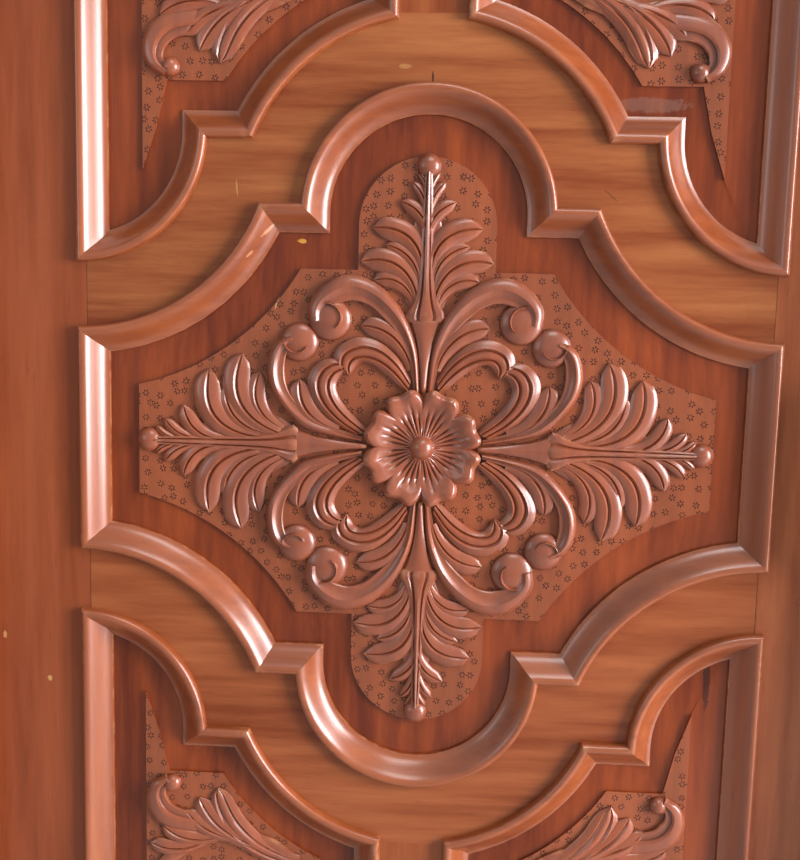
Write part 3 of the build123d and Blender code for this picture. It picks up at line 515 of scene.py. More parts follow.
class Draft:
    """Collects closed bodies of millimetre points (x, z, y) and makes one mesh object of them."""

    def __init__(self) -> None:
        """Starts with no bodies."""
        self.points: list[Spot] = []
        self.faces: list[list[int]] = []

    def tube(self, rings: np.ndarray, closed: bool = False) -> None:
        """Adds a closed body through rings of points.

        Args:
            rings: rings of as many (x, z, y) points each.
            closed: whether the last ring meets the first; otherwise both ends are capped.
        """
        count, around, _ = rings.shape
        base = len(self.points)
        self.points += [tuple(point) for point in rings.reshape(-1, 3)]
        for i in range(count if closed else count - 1):
            low, high = base + i * around, base + (i + 1) % count * around
            for j in range(around):
                k = (j + 1) % around
                self.faces.append([low + j, low + k, high + k, high + j])
        if not closed:
            self.faces.append([base + j for j in range(around)][::-1])
            self.faces.append([base + (count - 1) * around + j for j in range(around)])

    def mirrored(self, across: bool, up: bool) -> "Draft":
        """The same bodies mirrored across the middle lines of the leaf.

        Args:
            across: whether left and right change sides.
            up: whether top and bottom change sides.

        Returns:
            A new draft.
        """
        other = Draft()
        other.points = [(-x if across else x, -z if up else z, y) for x, z, y in self.points]
        other.faces = [list(face) for face in self.faces]
        return other

    def add(self, *others: "Draft") -> None:
        """Takes in the bodies of other drafts.

        Args:
            others: the drafts; they stay as they are.
        """
        for other in others:
            base = len(self.points)
            self.points += other.points
            self.faces += [[base + i for i in face] for face in other.faces]

    def make(self, name: str, smooth: float) -> bpy.types.Object:
        """Makes the object.

        Args:
            name: the object's name.
            smooth: edges flatter than this angle in degrees are shaded smooth.

        Returns:
            The object, at the origin, with its faces outwards.
        """
        mesh = bpy.data.meshes.new(name)
        corners = [LEAF.metres(*point) for point in self.points]
        mesh.from_pydata(corners, [], self.faces)
        work = bmesh.new()
        work.from_mesh(mesh)
        bmesh.ops.remove_doubles(work, verts=work.verts, dist=1e-6)
        bmesh.ops.recalc_face_normals(work, faces=work.faces)
        work.to_mesh(mesh)
        work.free()
        mesh.shade_smooth()
        mesh.set_sharp_from_angle(angle=radians(smooth))
        made = bpy.data.objects.new(name, mesh)
        bpy.context.scene.collection.objects.link(made)
        return made


def smooth_line(points: list[Point], count: int) -> np.ndarray:
    """Evenly spaced points on a smooth line through given points.

    Args:
        points: points to pass through.
        count: number of points wanted.

    Returns:
        Array of (x, z).
    """
    given = np.array(points, dtype=float)
    padded = np.vstack([2 * given[0] - given[1], given, 2 * given[-1] - given[-2]])
    dense = []
    for a, b, c, d in zip(padded, padded[1:], padded[2:], padded[3:]):
        for t in np.linspace(0.0, 1.0, 12, endpoint=False):
            dense.append(0.5 * (2 * b + (c - a) * t + (2 * a - 5 * b + 4 * c - d) * t**2
                                + (3 * b - a - 3 * c + d) * t**3))
    dense.append(given[-1])
    line = np.array(dense)
    lengths = np.concatenate([[0.0], np.cumsum(np.hypot(*np.diff(line, axis=0).T))])
    even = np.linspace(0.0, lengths[-1], count)
    return np.column_stack([np.interp(even, lengths, line[:, k]) for k in (0, 1)])


def copies(draft: Draft) -> Draft:
    """A draft and its mirror images in the other three quarters.

    Args:
        draft: bodies of the upper right quarter.

    Returns:
        One draft with all four quarters.
    """
    whole = Draft()
    for left, low in QUARTERS.values():
        whole.add(draft.mirrored(left, low))
    return whole


def dress(obj: bpy.types.Object, *materials: bpy.types.Material) -> bpy.types.Object:
    """Gives an object its materials.

    Args:
        obj: the object.
        materials: its materials, in slot order.

    Returns:
        The same object.
    """
    obj.data.materials.clear()
    for material in materials:
        obj.data.materials.append(material)
    return obj


# Outlines of the panels, by the distance in from the outer edge of their mouldings


def arc(centre: Point, start: Point, finish: Point, count: int) -> list[Point]:
    """Points on the short arc from one point to another, without the last.

    Args:
        centre: centre of the arc.
        start: first point.
        finish: point at which the arc ends.
        count: number of steps.

    Returns:
        As many points as steps.
    """
    begin = atan2(start[1] - centre[1], start[0] - centre[0])
    end = atan2(finish[1] - centre[1], finish[0] - centre[0])
    turn = (end - begin + pi) % (2 * pi) - pi
    radius = hypot(start[0] - centre[0], start[1] - centre[1])
    angles = [begin + turn * k / count for k in range(count)]
    return [(centre[0] + radius * cos(a), centre[1] + radius * sin(a)) for a in angles]


def line(start: Point, finish: Point, count: int) -> list[Point]:
    """Points on a straight run, without the last."""
    steps = [k / count for k in range(count)]
    return [tuple(a + (b - a) * t for a, b in zip(start, finish)) for t in steps]


@dataclass(frozen=True)
class CentreOutline:
    """Quarter of the centre panel's outline, from the middle of its side to the top of its arch."""

    leaf: Leaf = LEAF
    arch_steps: int = 26

    def runs(self, u: float) -> Runs:
        """Points of each run of the outline.

        Args:
            u: distance in from the outer edge of the moulding.

        Returns:
            The runs by name, in order.
        """
        s = self.leaf
        pivot, crown = (s.sight_x, s.shoulder_z), (0.0, s.arch_z)
        radius, step, arch = s.shoulder_outer + u, s.centre_step - u, s.arch_inner - u
        corner = (s.sight_x - u, s.shoulder_z - sqrt(radius**2 - u**2))
        shoulder = (s.sight_x - sqrt(radius**2 - (s.shoulder_z - step) ** 2), step)
        if step < s.arch_z:
            foot = (arch, step)
            spring = (arch, s.arch_z)
        else:
            foot = (sqrt(arch**2 - (step - s.arch_z) ** 2), step)
            spring = foot
        top = (0.0, s.arch_z + arch)
        leg = line(foot, spring, 2)
        return {
            "side": line((corner[0], 0.0), corner, 4) + [corner],
            "shoulder": arc(pivot, corner, shoulder, self.arch_steps) + [shoulder],
            "step": line(shoulder, foot, 4) + [foot],
            "arch": leg + arc(crown, spring, top, self.arch_steps) + [top],
        }


@dataclass(frozen=True)
class CornerOutline:
    """Outline of the upper right panel, run by run."""

    leaf: Leaf = LEAF
    arch_steps: int = 26

    def runs(self, u: float) -> Runs:
        """Points of each run of the outline.

        Args:
            u: distance in from the outer edge of the moulding.

        Returns:
            The runs by name, in order.
        """
        s = self.leaf
        pivot, crown = (s.sight_x, s.shoulder_z), (0.0, s.arch_z)
        radius, step, arch = s.shoulder_inner - u, s.corner_step + u, s.arch_outer + u
        inner, top, side = s.muntin_x + u, s.sight_z - u, s.sight_x - u
        first = (side, s.shoulder_z - sqrt(radius**2 - u**2))
        if step > s.shoulder_z:
            spring = (s.sight_x - radius, s.shoulder_z)
            second = (spring[0], step)
        else:
            spring = (s.sight_x - sqrt(radius**2 - (s.shoulder_z - step) ** 2), step)
            second = spring
        third = (sqrt(arch**2 - (step - s.arch_z) ** 2), step)
        fourth = (inner, s.arch_z + sqrt(arch**2 - inner**2))
        return {
            "side": line((side, top), first, 6) + [first],
            "shoulder": arc(pivot, first, spring, self.arch_steps) + line(spring, second, 2) + [second],
            "step": line(second, third, 4) + [third],
            "arch": arc(crown, third, fourth, self.arch_steps) + [fourth],
            "muntin": line(fourth, (inner, top), 6) + [(inner, top)],
            "end": line((inner, top), (side, top), 4) + [(side, top)],
        }


def outline_points(runs: Runs) -> list[Point]:
    """All points of an outline's runs, each corner once.

    Args:
        runs: the outline's runs.

    Returns:
        One closed line.
    """
    points: list[Point] = []
    for run in runs.values():
        points += run[:-1]
    return points


def whole_outline(runs: Runs) -> list[Point]:
    """The centre outline's quarter mirrored to all four quarters.

    Args:
        runs: the runs of the upper right quarter.

    Returns:
        One closed line.
    """
    quarter = outline_points(runs) + [runs["arch"][-1]]
    upper = quarter + [(-x, z) for x, z in quarter[-2:0:-1]]
    left = [(-quarter[0][0], 0.0)]
    lower = [(-x, -z) for x, z in quarter[1:]] + [(x, -z) for x, z in quarter[-2:0:-1]]
    return upper + left + lower


# Mouldings


@dataclass
class Mouldings:
    """Raised mouldings round the panels: a rounded crown and a slope that runs out hollow, mitred."""

    leaf: Leaf = LEAF
    crown: tuple[Point, ...] = (
        (0.0, 3.0), (0.4, 5.9), (2.0, 8.1), (4.6, 8.8), (7.6, 7.8), (10.8, 5.0),
        (14.0, 1.3), (17.2, -2.6), (20.2, -5.9), (22.8, -8.1), (25.0, -9.4), (27.0, -10.2),
    )
    lap: float = 8.0
    objects: list[bpy.types.Object] = field(default_factory=list)

    def section(self) -> list[Point]:
        """The section, crown first, with the lap over the rail's edge.

        Returns:
            Closed line of (distance in from the outer edge, height above the stile).
        """
        face = [tuple(point) for point in smooth_line(list(self.crown), 30)]
        foot = self.leaf.front - self.leaf.panel_front
        return [(0.0, 0.0)] + face + [(self.leaf.moulding, foot), (self.lap, foot), (self.lap, 0.0)]

    def length(self, outline: CentreOutline | CornerOutline, name: str, whole: bool = False) -> Draft:
        """One length, mitred because each line of it ends at its own corner.

        Args:
            outline: outline that the length follows.
            name: the run that it covers.
            whole: whether the run is one half and the length goes on to its mirror image.

        Returns:
            The closed length.
        """
        draft = Draft()
        lines = []
        for u, height in self.section():
            run = outline.runs(u)[name]
            if whole and name == "arch":
                run = run + [(-x, z) for x, z in run[-2::-1]]
            elif whole:
                run = [(x, -z) for x, z in run[:0:-1]] + run
            lines.append([(x, z, self.leaf.front - height) for x, z in run])
        draft.tube(np.array(lines).transpose(1, 0, 2))
        return draft

    def build(self, upright: VarnishedWood, across: VarnishedWood) -> None:
        """Builds and dresses every length, and puts it in the place of its solids.

        Args:
            upright: wood of the upright lengths.
            across: wood of all other lengths.
        """
        upright_wood, across_wood = upright.material(), across.material()
        centre, corner = CentreOutline(), CornerOutline()
        side = self.length(centre, "side", True)
        self.place(side, "centre_right_length", upright_wood, "centre_moulding_right")
        self.place(side.mirrored(True, False), "centre_left_length", upright_wood, "centre_moulding_left")
        arch = self.length(centre, "arch", True)
        for name, under in (("top", False), ("bottom", True)):
            self.place(arch.mirrored(False, under), f"centre_{name}_arch_length", across_wood,
                       "centre_arch_mouldings")
        lengths = (
            (centre, "shoulder", "{place}_centre_shoulder_length", across_wood,
             "centre_shoulder_mouldings"),
            (centre, "step", "{place}_centre_step_length", across_wood, "{place}_centre_step_moulding"),
            (corner, "side", "{place}_side_length", upright_wood, "{place}_side_moulding"),
            (corner, "muntin", "{place}_muntin_length", upright_wood, "{place}_muntin_moulding"),
            (corner, "step", "{place}_step_length", across_wood, "{place}_step_moulding"),
            (corner, "end", "{place}_end_length", across_wood, "{place}_end_moulding"),
            (corner, "shoulder", "{place}_shoulder_length", across_wood, "corner_shoulder_mouldings"),
            (corner, "arch", "{place}_arch_length", across_wood, "corner_arch_mouldings"),
        )
        for place, (left, low) in QUARTERS.items():
            for outline, run, name, wood, node in lengths:
                piece = self.length(outline, run).mirrored(left, low)
                self.place(piece, name.format(place=place), wood, node.format(place=place))

    def place(self, draft: Draft, name: str, wood: bpy.types.Material, node: str) -> None:
        """Makes one length, rides it on the leaf and lets it stand for its solid.

        Args:
            draft: the closed length.
            name: the piece's name.
            wood: its material.
            node: the node whose solid it stands for.
        """
        made = dress(draft.make(name, smooth=38.0), wood)
        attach(made, "door_leaf")
        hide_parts(node)
        self.objects.append(made)
        LOG.info("made %s for %s", name, node)


# Relief carving


@dataclass
class Relief:
    """Carves lobes, bands, balls and petals that stand on a panel's field."""

    bed: float = 17.6
    face: float = LEAF.field_front
    draft: Draft = field(default_factory=Draft)

    def ribbon(self, left: np.ndarray, right: np.ndarray, rise: np.ndarray, section: list[Point]) -> None:
        """Body between two edge lines.

        Args:
            left: (x, z) points of one edge.
            right: (x, z) points of the other edge, as many.
            rise: height of each station over the field.
            section: (share of the way across, share of the height) from edge to edge.
        """
        rings = []
        for a, b, height in zip(left, right, rise):
            ring = [(a[0], a[1], self.bed)]
            for across, up in section:
                x, z = a + (b - a) * across
                ring.append((x, z, self.face - height * up))
            ring.append((b[0], b[1], self.bed))
            rings.append(ring)
        self.draft.tube(np.array(rings))

    def lobe(self, base: Point, tip: Point, bend: float, width: float, height: float, cuts: int) -> None:
        """Leaf lobe with rounded tip and carved veins.

        Args:
            base: where it springs from.
            tip: its end.
            bend: how far it bows to the left, as a share of its length.
            width: full width.
            height: height over the field.
            cuts: number of veins cut along it.
        """
        full_at, foot_share, count = 0.70, 0.52, 22
        run = np.array(tip) - np.array(base)
        normal = np.array([-run[1], run[0]])
        t = np.linspace(0.0, 1.0, count)
        sway = 4 * bend * t * (1 - t) - 0.35 * bend * t**6
        spine = np.array(base) + np.outer(t, run) + np.outer(sway, normal)
        tangent = np.gradient(spine, axis=0)
        tangent /= np.hypot(*tangent.T)[:, None]
        side = np.column_stack([-tangent[:, 1], tangent[:, 0]])
        rising = foot_share + (1 - foot_share) * np.sin(np.clip(t / full_at, 0, 1) * pi / 2) ** 1.2
        closing = np.sqrt(np.clip(1 - np.clip((t - full_at) / (1 - full_at), 0, 1) ** 3.6, 0.0, 1))
        half = width / 2 * np.maximum(rising * closing, 0.06)
        rise = height * (0.70 + 0.30 * np.sin(t * pi * 0.85)) * (1 - 0.50 * t**7)
        self.ribbon(spine + side * half[:, None], spine - side * half[:, None], rise, self.veined(cuts))

    def veined(self, cuts: int) -> list[Point]:
        """Rounded section of a leaf with cut veins.

        Args:
            cuts: number of veins.

        Returns:
            The section as (share of the way across, share of the height).
        """
        def rounded(share: float) -> float:
            """Height of the uncut section."""
            return 0.40 + 0.60 * sin(pi * share) ** 0.6

        groove = ((-0.09, 0.0), (-0.03, 0.22), (0.0, 0.34), (0.03, 0.22), (0.09, 0.0))
        veins = [(k + 1) / (cuts + 1) for k in range(cuts)]
        flat = [k / 12 for k in range(13) if all(abs(k / 12 - vein) > 0.10 for vein in veins)]
        points = [(share, rounded(share)) for share in flat]
        for vein in veins:
            points += [(vein + aside, rounded(vein) - sunk) for aside, sunk in groove]
        return sorted(points)

    def band(self, outer: list[Point], inner: list[Point], height: float, ridge: float = 0.42,
             start: float = 0.6) -> None:
        """Scrolled band with a sharp ridge between a convex flank and a hollow one.

        Args:
            outer: points of its outer edge.
            inner: points of its inner edge.
            height: height over the field.
            ridge: place of the ridge, as a share of the way across.
            start: height at its root, as a share of the full height.
        """
        count = 44
        left, right = smooth_line(outer, count), smooth_line(inner, count)
        t = np.linspace(0.0, 1.0, count)
        rise = height * (start + (1 - start) * np.sin(np.clip(t * 1.6, 0, 1) * pi / 2))
        section = [(0.0, 0.40), (0.08, 0.66), (0.22, 0.88), (ridge - 0.06, 0.985), (ridge, 1.0),
                   (ridge + 0.10, 0.84), (0.68, 0.62), (0.84, 0.56), (0.94, 0.60), (1.0, 0.50)]
        self.ribbon(left, right, rise, section)

    def ball(self, centre: Point, radius: float, height: float) -> None:
        """Rounded button or scroll eye.

        Args:
            centre: its middle.
            radius: its radius at the foot.
            height: height over the field.
        """
        steps, around, sunk = 9, 28, 1.0
        rings = []
        for k in range(steps):
            turn = pi / 2 * k / (steps - 0.2)
            reach = radius * cos(turn)
            level = self.face + sunk - (height + sunk) * sin(turn)
            rings.append([(centre[0] + reach * cos(a), centre[1] + reach * sin(a), level)
                          for a in np.linspace(0, 2 * pi, around, endpoint=False)])
        self.draft.tube(np.array(rings))

    def petal(self, angle: float, radius: float, half_angle: float, height: float) -> None:
        """Dished petal with a wavy, rolled lip and knife cuts from its root.

        Args:
            angle: direction of its middle.
            radius: reach of its lip.
            half_angle: half of the angle that it fills.
            height: height of its lip over the field.
        """
        root, rolled_from, cut_depth, cut_half_width = 9.0, 0.86, 1.9, 0.15
        cuts = ((-0.68, 0.60), (-0.26, 0.80), (0.18, 0.68), (0.62, 0.62))
        rings = []
        for u in np.linspace(0.0, 1.0, 22):
            dish = 0.46 - 0.40 * sin(pi * min(1.0, u / 0.76)) + 0.66 * max(0.0, (u - 0.36) / 0.64) ** 1.8
            roll = 1.0 - 0.55 * max(0.0, (u - rolled_from) / (1.0 - rolled_from)) ** 2
            ring = []
            for v in np.linspace(-1.0, 1.0, 41):
                wave = -cos(2.1 * pi * v + 0.9 * sin(3 * angle))
                lip = radius * (0.985 - 0.17 * abs(v) ** 6 + 0.022 * wave)
                reach = root + (lip - root) * u
                turn = angle + v * half_angle * (0.96 + 0.06 * u)
                cut = 0.0
                for place, length in cuts:
                    share = max(0.0, 1.0 - ((v - place) / cut_half_width) ** 2) ** 2
                    cut += cut_depth * share * max(0.0, sin(pi * min(1.0, u / length)))
                edge = 1.0 - 0.50 * abs(v) ** 6
                level = height * dish * roll * edge + 3.0 + 1.3 * wave * u**2 - cut
                ring.append((reach * cos(turn), reach * sin(turn), self.face - max(level, 0.3)))
            ends = [(x, z, self.bed) for x, z, _ in (ring[0], ring[-1])]
            rings.append([ends[0]] + ring + [ends[1]])
        self.draft.tube(np.array(rings))


@dataclass
class Carving:
    """The carved ornament of the centre panel and of the corner panels."""

    relief: Relief = field(default_factory=Relief)
    rosette_radius: float = 58.0
    button: float = 13.5

    def rosette(self) -> None:
        """Eight petals round a button, every other one a little higher."""
        for k in range(8):
            self.relief.petal(pi / 8 + k * pi / 4, self.rosette_radius, pi / 8 * 1.02, 9.0 + k % 2)
        self.relief.ball((0.0, 0.0), self.button, 14.0)

    def spray(self, turn: int, spread: float) -> None:
        """Acanthus spray along one of the four directions, with its bud at the end.

        Args:
            turn: quarter turns from the direction to the right.
            spread: its width, as a share of the full one.
        """
        def place(out: float, aside: float) -> Point:
            """Point at a distance out along the spray and aside of it."""
            return [(out, aside), (-aside, out), (-out, -aside), (aside, -out)][turn]
        body = [(124, 15), (134, 22), (150, 30), (170, 30), (190, 25), (212, 19), (236, 12), (262, 5)]
        self.rib(place, [(out, half * spread) for out, half in body], 3.6, False)
        lobes = (
            ((137, 14), (164, 68), 0.20, 20, 5.4, 1),
            ((140, 10), (183, 84), 0.22, 27, 6.8, 1),
            ((150, 9), (197, 52), 0.18, 18, 6.0, 1),
            ((160, 6), (215, 67), 0.24, 27, 7.2, 1),
            ((186, 4), (238, 32), 0.20, 18, 6.8, 1),
            ((216, 3), (255, 20), 0.12, 12, 6.0, 1),
            ((236, 2), (264, 13), 0.10, 8, 5.4, 1),
        )
        for base, tip, bend, width, height, cuts in lobes:
            for side in (1, -1):
                start = place(base[0], side * base[1] * spread)
                end = place(tip[0], side * tip[1] * spread)
                self.relief.lobe(start, end, -side * bend, width * (0.45 + 0.55 * spread), height, cuts)
        stem = [(54, 2.6), (80, 4.6), (104, 8.4), (121, 13.5), (124, 14.0)]
        self.rib(place, stem, 6.4, False)
        rib = [(122, 15.5), (125, 19.0), (131, 18.0), (140, 13.0), (152, 9.4), (170, 7.2), (205, 6.2),
               (240, 5.0), (264, 3.8)]
        self.rib(place, rib, 8.4, True)
        self.relief.ball(place(270, 0), 12.0, 8.6)

    def rib(self, place: Callable[[float, float], Point], stations: list[Point], height: float,
            cut: bool) -> None:
        """Straight rib along a spray.

        Args:
            place: point of the field for (out, aside).
            stations: (out, half width) along the rib.
            height: height over the field.
            cut: whether a groove runs along both sides.
        """
        line_points = smooth_line(stations, 26)
        left = np.array([place(out, half) for out, half in line_points])
        right = np.array([place(out, -half) for out, half in line_points])
        rise = np.full(len(line_points), height)
        rise[0] *= 0.75
        section = [(0.0, 0.40), (0.06, 0.70), (0.20, 0.86), (0.34, 0.95), (0.5, 1.0),
                   (0.66, 0.95), (0.80, 0.86), (0.94, 0.70), (1.0, 0.40)]
        if cut:
            section = [(0.0, 0.42), (0.07, 0.66), (0.22, 0.76), (0.30, 0.58), (0.36, 0.90), (0.5, 1.0),
                       (0.64, 0.90), (0.70, 0.58), (0.78, 0.76), (0.93, 0.66), (1.0, 0.42)]
        self.relief.ribbon(left, right, rise, section)

    def quarter(self) -> None:
        """Two scrolls, two half leaves and two lobes of the upper right quarter."""
        carve = self.relief
        upright_outer = [(3.6, 54), (7, 94), (18.6, 126), (33, 146), (49, 159), (70, 166), (88, 163),
                         (103, 152), (113, 136), (112, 120)]
        upright_inner = [(9.5, 55), (16, 90), (28, 112), (42, 127), (54, 137), (68, 141.5), (80, 140),
                         (89, 136), (94, 130), (95, 123)]
        level_outer = [(58.6, 4.3), (84, 8), (113, 15), (128, 26), (141, 41), (150, 56), (153, 73),
                       (150, 90), (143, 101), (132, 107)]
        level_inner = [(59, 9.5), (84, 17), (106, 27), (121, 38), (130, 49), (135, 62), (136, 76),
                       (134, 88), (129, 95), (122, 98)]
        for outer, inner, eye, radius, turn in ((upright_outer, upright_inner, (92, 123), 21.5, 1.2),
                                                (level_outer, level_inner, (122, 100), 19.5, 0.2)):
            carve.ball(eye, radius, 8.4)
            carve.band(outer, inner, 9.4)
            self.curl(eye, radius, turn)
        self.half_leaf([(12, 66), (26, 88), (45, 103), (66, 106), (84, 96), (88, 80), (80, 68)],
                       [(16, 52), (34, 68), (48, 78), (58, 82), (64, 80), (66, 75), (66, 70)], 2)
        carve.lobe((12, 76), (60, 120), 0.16, 21, 6.2, 1)
        self.half_leaf([(66, 10), (90, 24), (108, 44), (113, 64), (104, 80), (88, 86), (74, 82)],
                       [(52, 16), (70, 32), (81, 46), (85, 57), (83, 65), (78, 69), (72, 70)], 2)
        carve.lobe((82, 15), (124, 61), -0.18, 23, 6.2, 1)

    def curl(self, eye: Point, radius: float, turn: float) -> None:
        """Crescent that winds from a scroll's hook into its eye.

        Args:
            eye: middle of the eye.
            radius: radius of the eye.
            turn: angle at which the crescent starts.
        """
        outer, inner = [], []
        for k in range(9):
            angle = turn + (2.9 if turn > 1 else -2.9) * k / 8
            reach, width = radius * (0.80 - 0.30 * k / 8), radius * 0.30 * sin(pi * (k + 1.2) / 10.5)
            outer.append((eye[0] + reach * cos(angle), eye[1] + reach * sin(angle)))
            inner.append((eye[0] + (reach - width) * cos(angle), eye[1] + (reach - width) * sin(angle)))
        self.relief.band(outer, inner, 10.2, 0.35, 0.9)

    def half_leaf(self, outer: list[Point], inner: list[Point], cuts: int) -> None:
        """Fluted half leaf whose tip curls over.

        Args:
            outer: points of its outer edge.
            inner: points of its inner edge.
            cuts: number of veins.
        """
        count = 32
        left, right = smooth_line(outer, count), smooth_line(inner, count)
        t = np.linspace(0.0, 1.0, count)
        rise = 7.4 * (0.66 + 0.34 * np.sin(t * pi * 0.85)) * (1 - 0.30 * t**8)
        middle = (left + right) / 2
        closing = np.sqrt(np.clip(1 - np.clip((t - 0.80) / 0.20, 0, 1) ** 2.2, 0.02, 1))[:, None]
        left, right = middle + (left - middle) * closing, middle + (right - middle) * closing
        self.relief.ribbon(left, right, rise, self.relief.veined(cuts))

    def centre(self) -> Draft:
        """All carving of the centre panel.

        Returns:
            The closed bodies.
        """
        whole = Draft()
        self.quarter()
        whole.add(copies(self.relief.draft))
        self.relief.draft = Draft()
        for turn, spread in ((0, 1.0), (1, 0.72), (2, 1.0), (3, 0.72)):
            self.spray(turn, spread)
        self.rosette()
        whole.add(self.relief.draft)
        self.relief.draft = Draft()
        return whole

    def corner(self) -> Draft:
        """All carving of the upper right panel: hook, leaves and ring.

        Returns:
            The closed bodies.
        """
        carve = self.relief
        carve.band([(204, 412), (236, 410), (258, 404), (271, 391), (275, 374), (269, 358), (255, 349)],
                   [(212, 388), (232, 387), (245, 383), (253, 375), (255, 367), (252, 361), (248, 357)],
                   7.2, 0.55)
        carve.ball((248, 358), 9.5, 8.4)
        for base, tip, bend, width, cuts in (
            ((116, 438), (204, 366), 0.14, 28, 2), ((144, 424), (222, 376), 0.12, 23, 1),
            ((168, 416), (235, 389), 0.10, 18, 1), ((196, 412), (258, 408), 0.12, 18, 1),
            ((214, 420), (271, 426), 0.10, 17, 1),
        ):
            carve.lobe(base, tip, bend, width, 6.4, cuts)
        ring = np.array([185.0, 500.0])
        angles = np.linspace(0.0, 2 * pi, 72, endpoint=False)
        profile = ((81, 1.1), (81, -2.2), (84, -3.8), (88, -4.6), (92, -4.0), (95.5, -2.6), (96, 1.1))
        rings = []
        for a in angles:
            out = np.array([cos(a), sin(a)])
            rings.append([(*(ring + out * reach), carve.face + level) for reach, level in profile])
        carve.draft.tube(np.array(rings), closed=True)
        whole = carve.draft
        carve.draft = Draft()
        return whole


# Panels


@dataclass
class Panels:
    """The raised, fielded and carved boards."""

    leaf: Leaf = LEAF
    side: float = 281.0
    shoulder_radius: float = 252.0
    top: float = 171.0
    arch_x: float = 66.0
    arch_z: float = 213.0
    arch_steps: int = 26
    objects: list[bpy.types.Object] = field(default_factory=list)

    def centre_field(self) -> Runs:
        """Quarter of the centre field's outline, run by run as its moulding's.

        Returns:
            The runs by name, in order.
        """
        s = self.leaf
        pivot = (s.sight_x, s.shoulder_z)
        corner = (self.side, s.shoulder_z - sqrt(self.shoulder_radius**2 - (s.sight_x - self.side) ** 2))
        shoulder = (s.sight_x - sqrt(self.shoulder_radius**2 - (s.shoulder_z - self.top) ** 2), self.top)
        foot, spring = (self.arch_x, self.top), (self.arch_x, self.arch_z)
        top = (0.0, self.arch_z + self.arch_x)
        return {
            "side": line((corner[0], 0.0), corner, 4) + [corner],
            "shoulder": arc(pivot, corner, shoulder, self.arch_steps) + [shoulder],
            "step": line(shoulder, foot, 4) + [foot],
            "arch": line(foot, spring, 2) + arc((0.0, self.arch_z), spring, top, self.arch_steps) + [top],
        }

    def corner_field(self) -> Runs:
        """The upper right field's outline, run by run as its moulding's.

        Returns:
            The runs by name, in order.
        """
        horn, bend, root = (276.0, 262.0), (261.6, 304.0), (252.0, 346.0)
        foot, crown = (195.6, 346.0), (94.0, 434.5)
        top, side, inner = 816.0, 276.0, 94.0
        return {
            "side": line((side, top), horn, 6) + [horn],
            "shoulder": line(horn, bend, self.arch_steps) + line(bend, root, 2) + [root],
            "step": line(root, foot, 4) + [foot],
            "arch": arc((0.0, self.leaf.arch_z), foot, crown, self.arch_steps) + [crown],
            "muntin": line(crown, (inner, top), 6) + [(inner, top)],
            "end": line((inner, top), (side, top), 4) + [(side, top)],
        }

    def board(self, rim: list[Point], inner: list[Point], edge: list[Point]) -> Draft:
        """Board from its tongue over its bevel to the flat of its field.

        Args:
            rim: outline at the foot of the bevel.
            inner: outline of the field, with as many points.
            edge: outline of the hidden tongue.

        Returns:
            The closed board.
        """
        s = self.leaf
        crease, arris = 0.015, 0.25
        near = [(a + (c - a) * crease, b + (d - b) * crease) for (a, b), (c, d) in zip(inner, rim)]
        levels = ((edge, s.panel_back), (edge, s.panel_front), (rim, s.panel_front), (near, s.field_foot),
                  (inner, s.field_foot), (inner, s.field_front + arris), (inner, s.field_front))
        draft = Draft()
        draft.tube(np.array([[(x, z, y) for x, z in outline] for outline, y in levels]))
        return draft

    def build(self, wood: VarnishedWood) -> None:
        """Builds and dresses the five boards with their carving.

        Args:
            wood: wood of all five.
        """
        material = wood.material()
        rim, tongue = self.leaf.moulding, -self.leaf.tongue
        carving = Carving()
        outline = CentreOutline()
        board = self.board(whole_outline(outline.runs(rim)), whole_outline(self.centre_field()),
                           whole_outline(outline.runs(tongue)))
        board.add(carving.centre())
        self.place(board, "carved_centre_board", material, "centre_panel")
        corner = CornerOutline()
        board = self.board(outline_points(corner.runs(rim)), outline_points(self.corner_field()),
                           outline_points(corner.runs(tongue)))
        board.add(carving.corner())
        for place, (left, low) in QUARTERS.items():
            self.place(board.mirrored(left, low), f"carved_{place}_board", material, f"{place}_panel")

    def place(self, draft: Draft, name: str, wood: bpy.types.Material, node: str) -> None:
        """Makes one board, rides it on the leaf and lets it stand for its solid.

        Args:
            draft: the board with its carving.
            name: the piece's name.
            wood: its material.
            node: the node whose solid it stands for.
        """
        made = dress(draft.make(name, smooth=30.0), wood)
        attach(made, "door_leaf")
        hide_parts(node)
        self.objects.append(made)
        LOG.info("made %s for %s", name, node)


# Stiles, rails and the door frame keep their solids


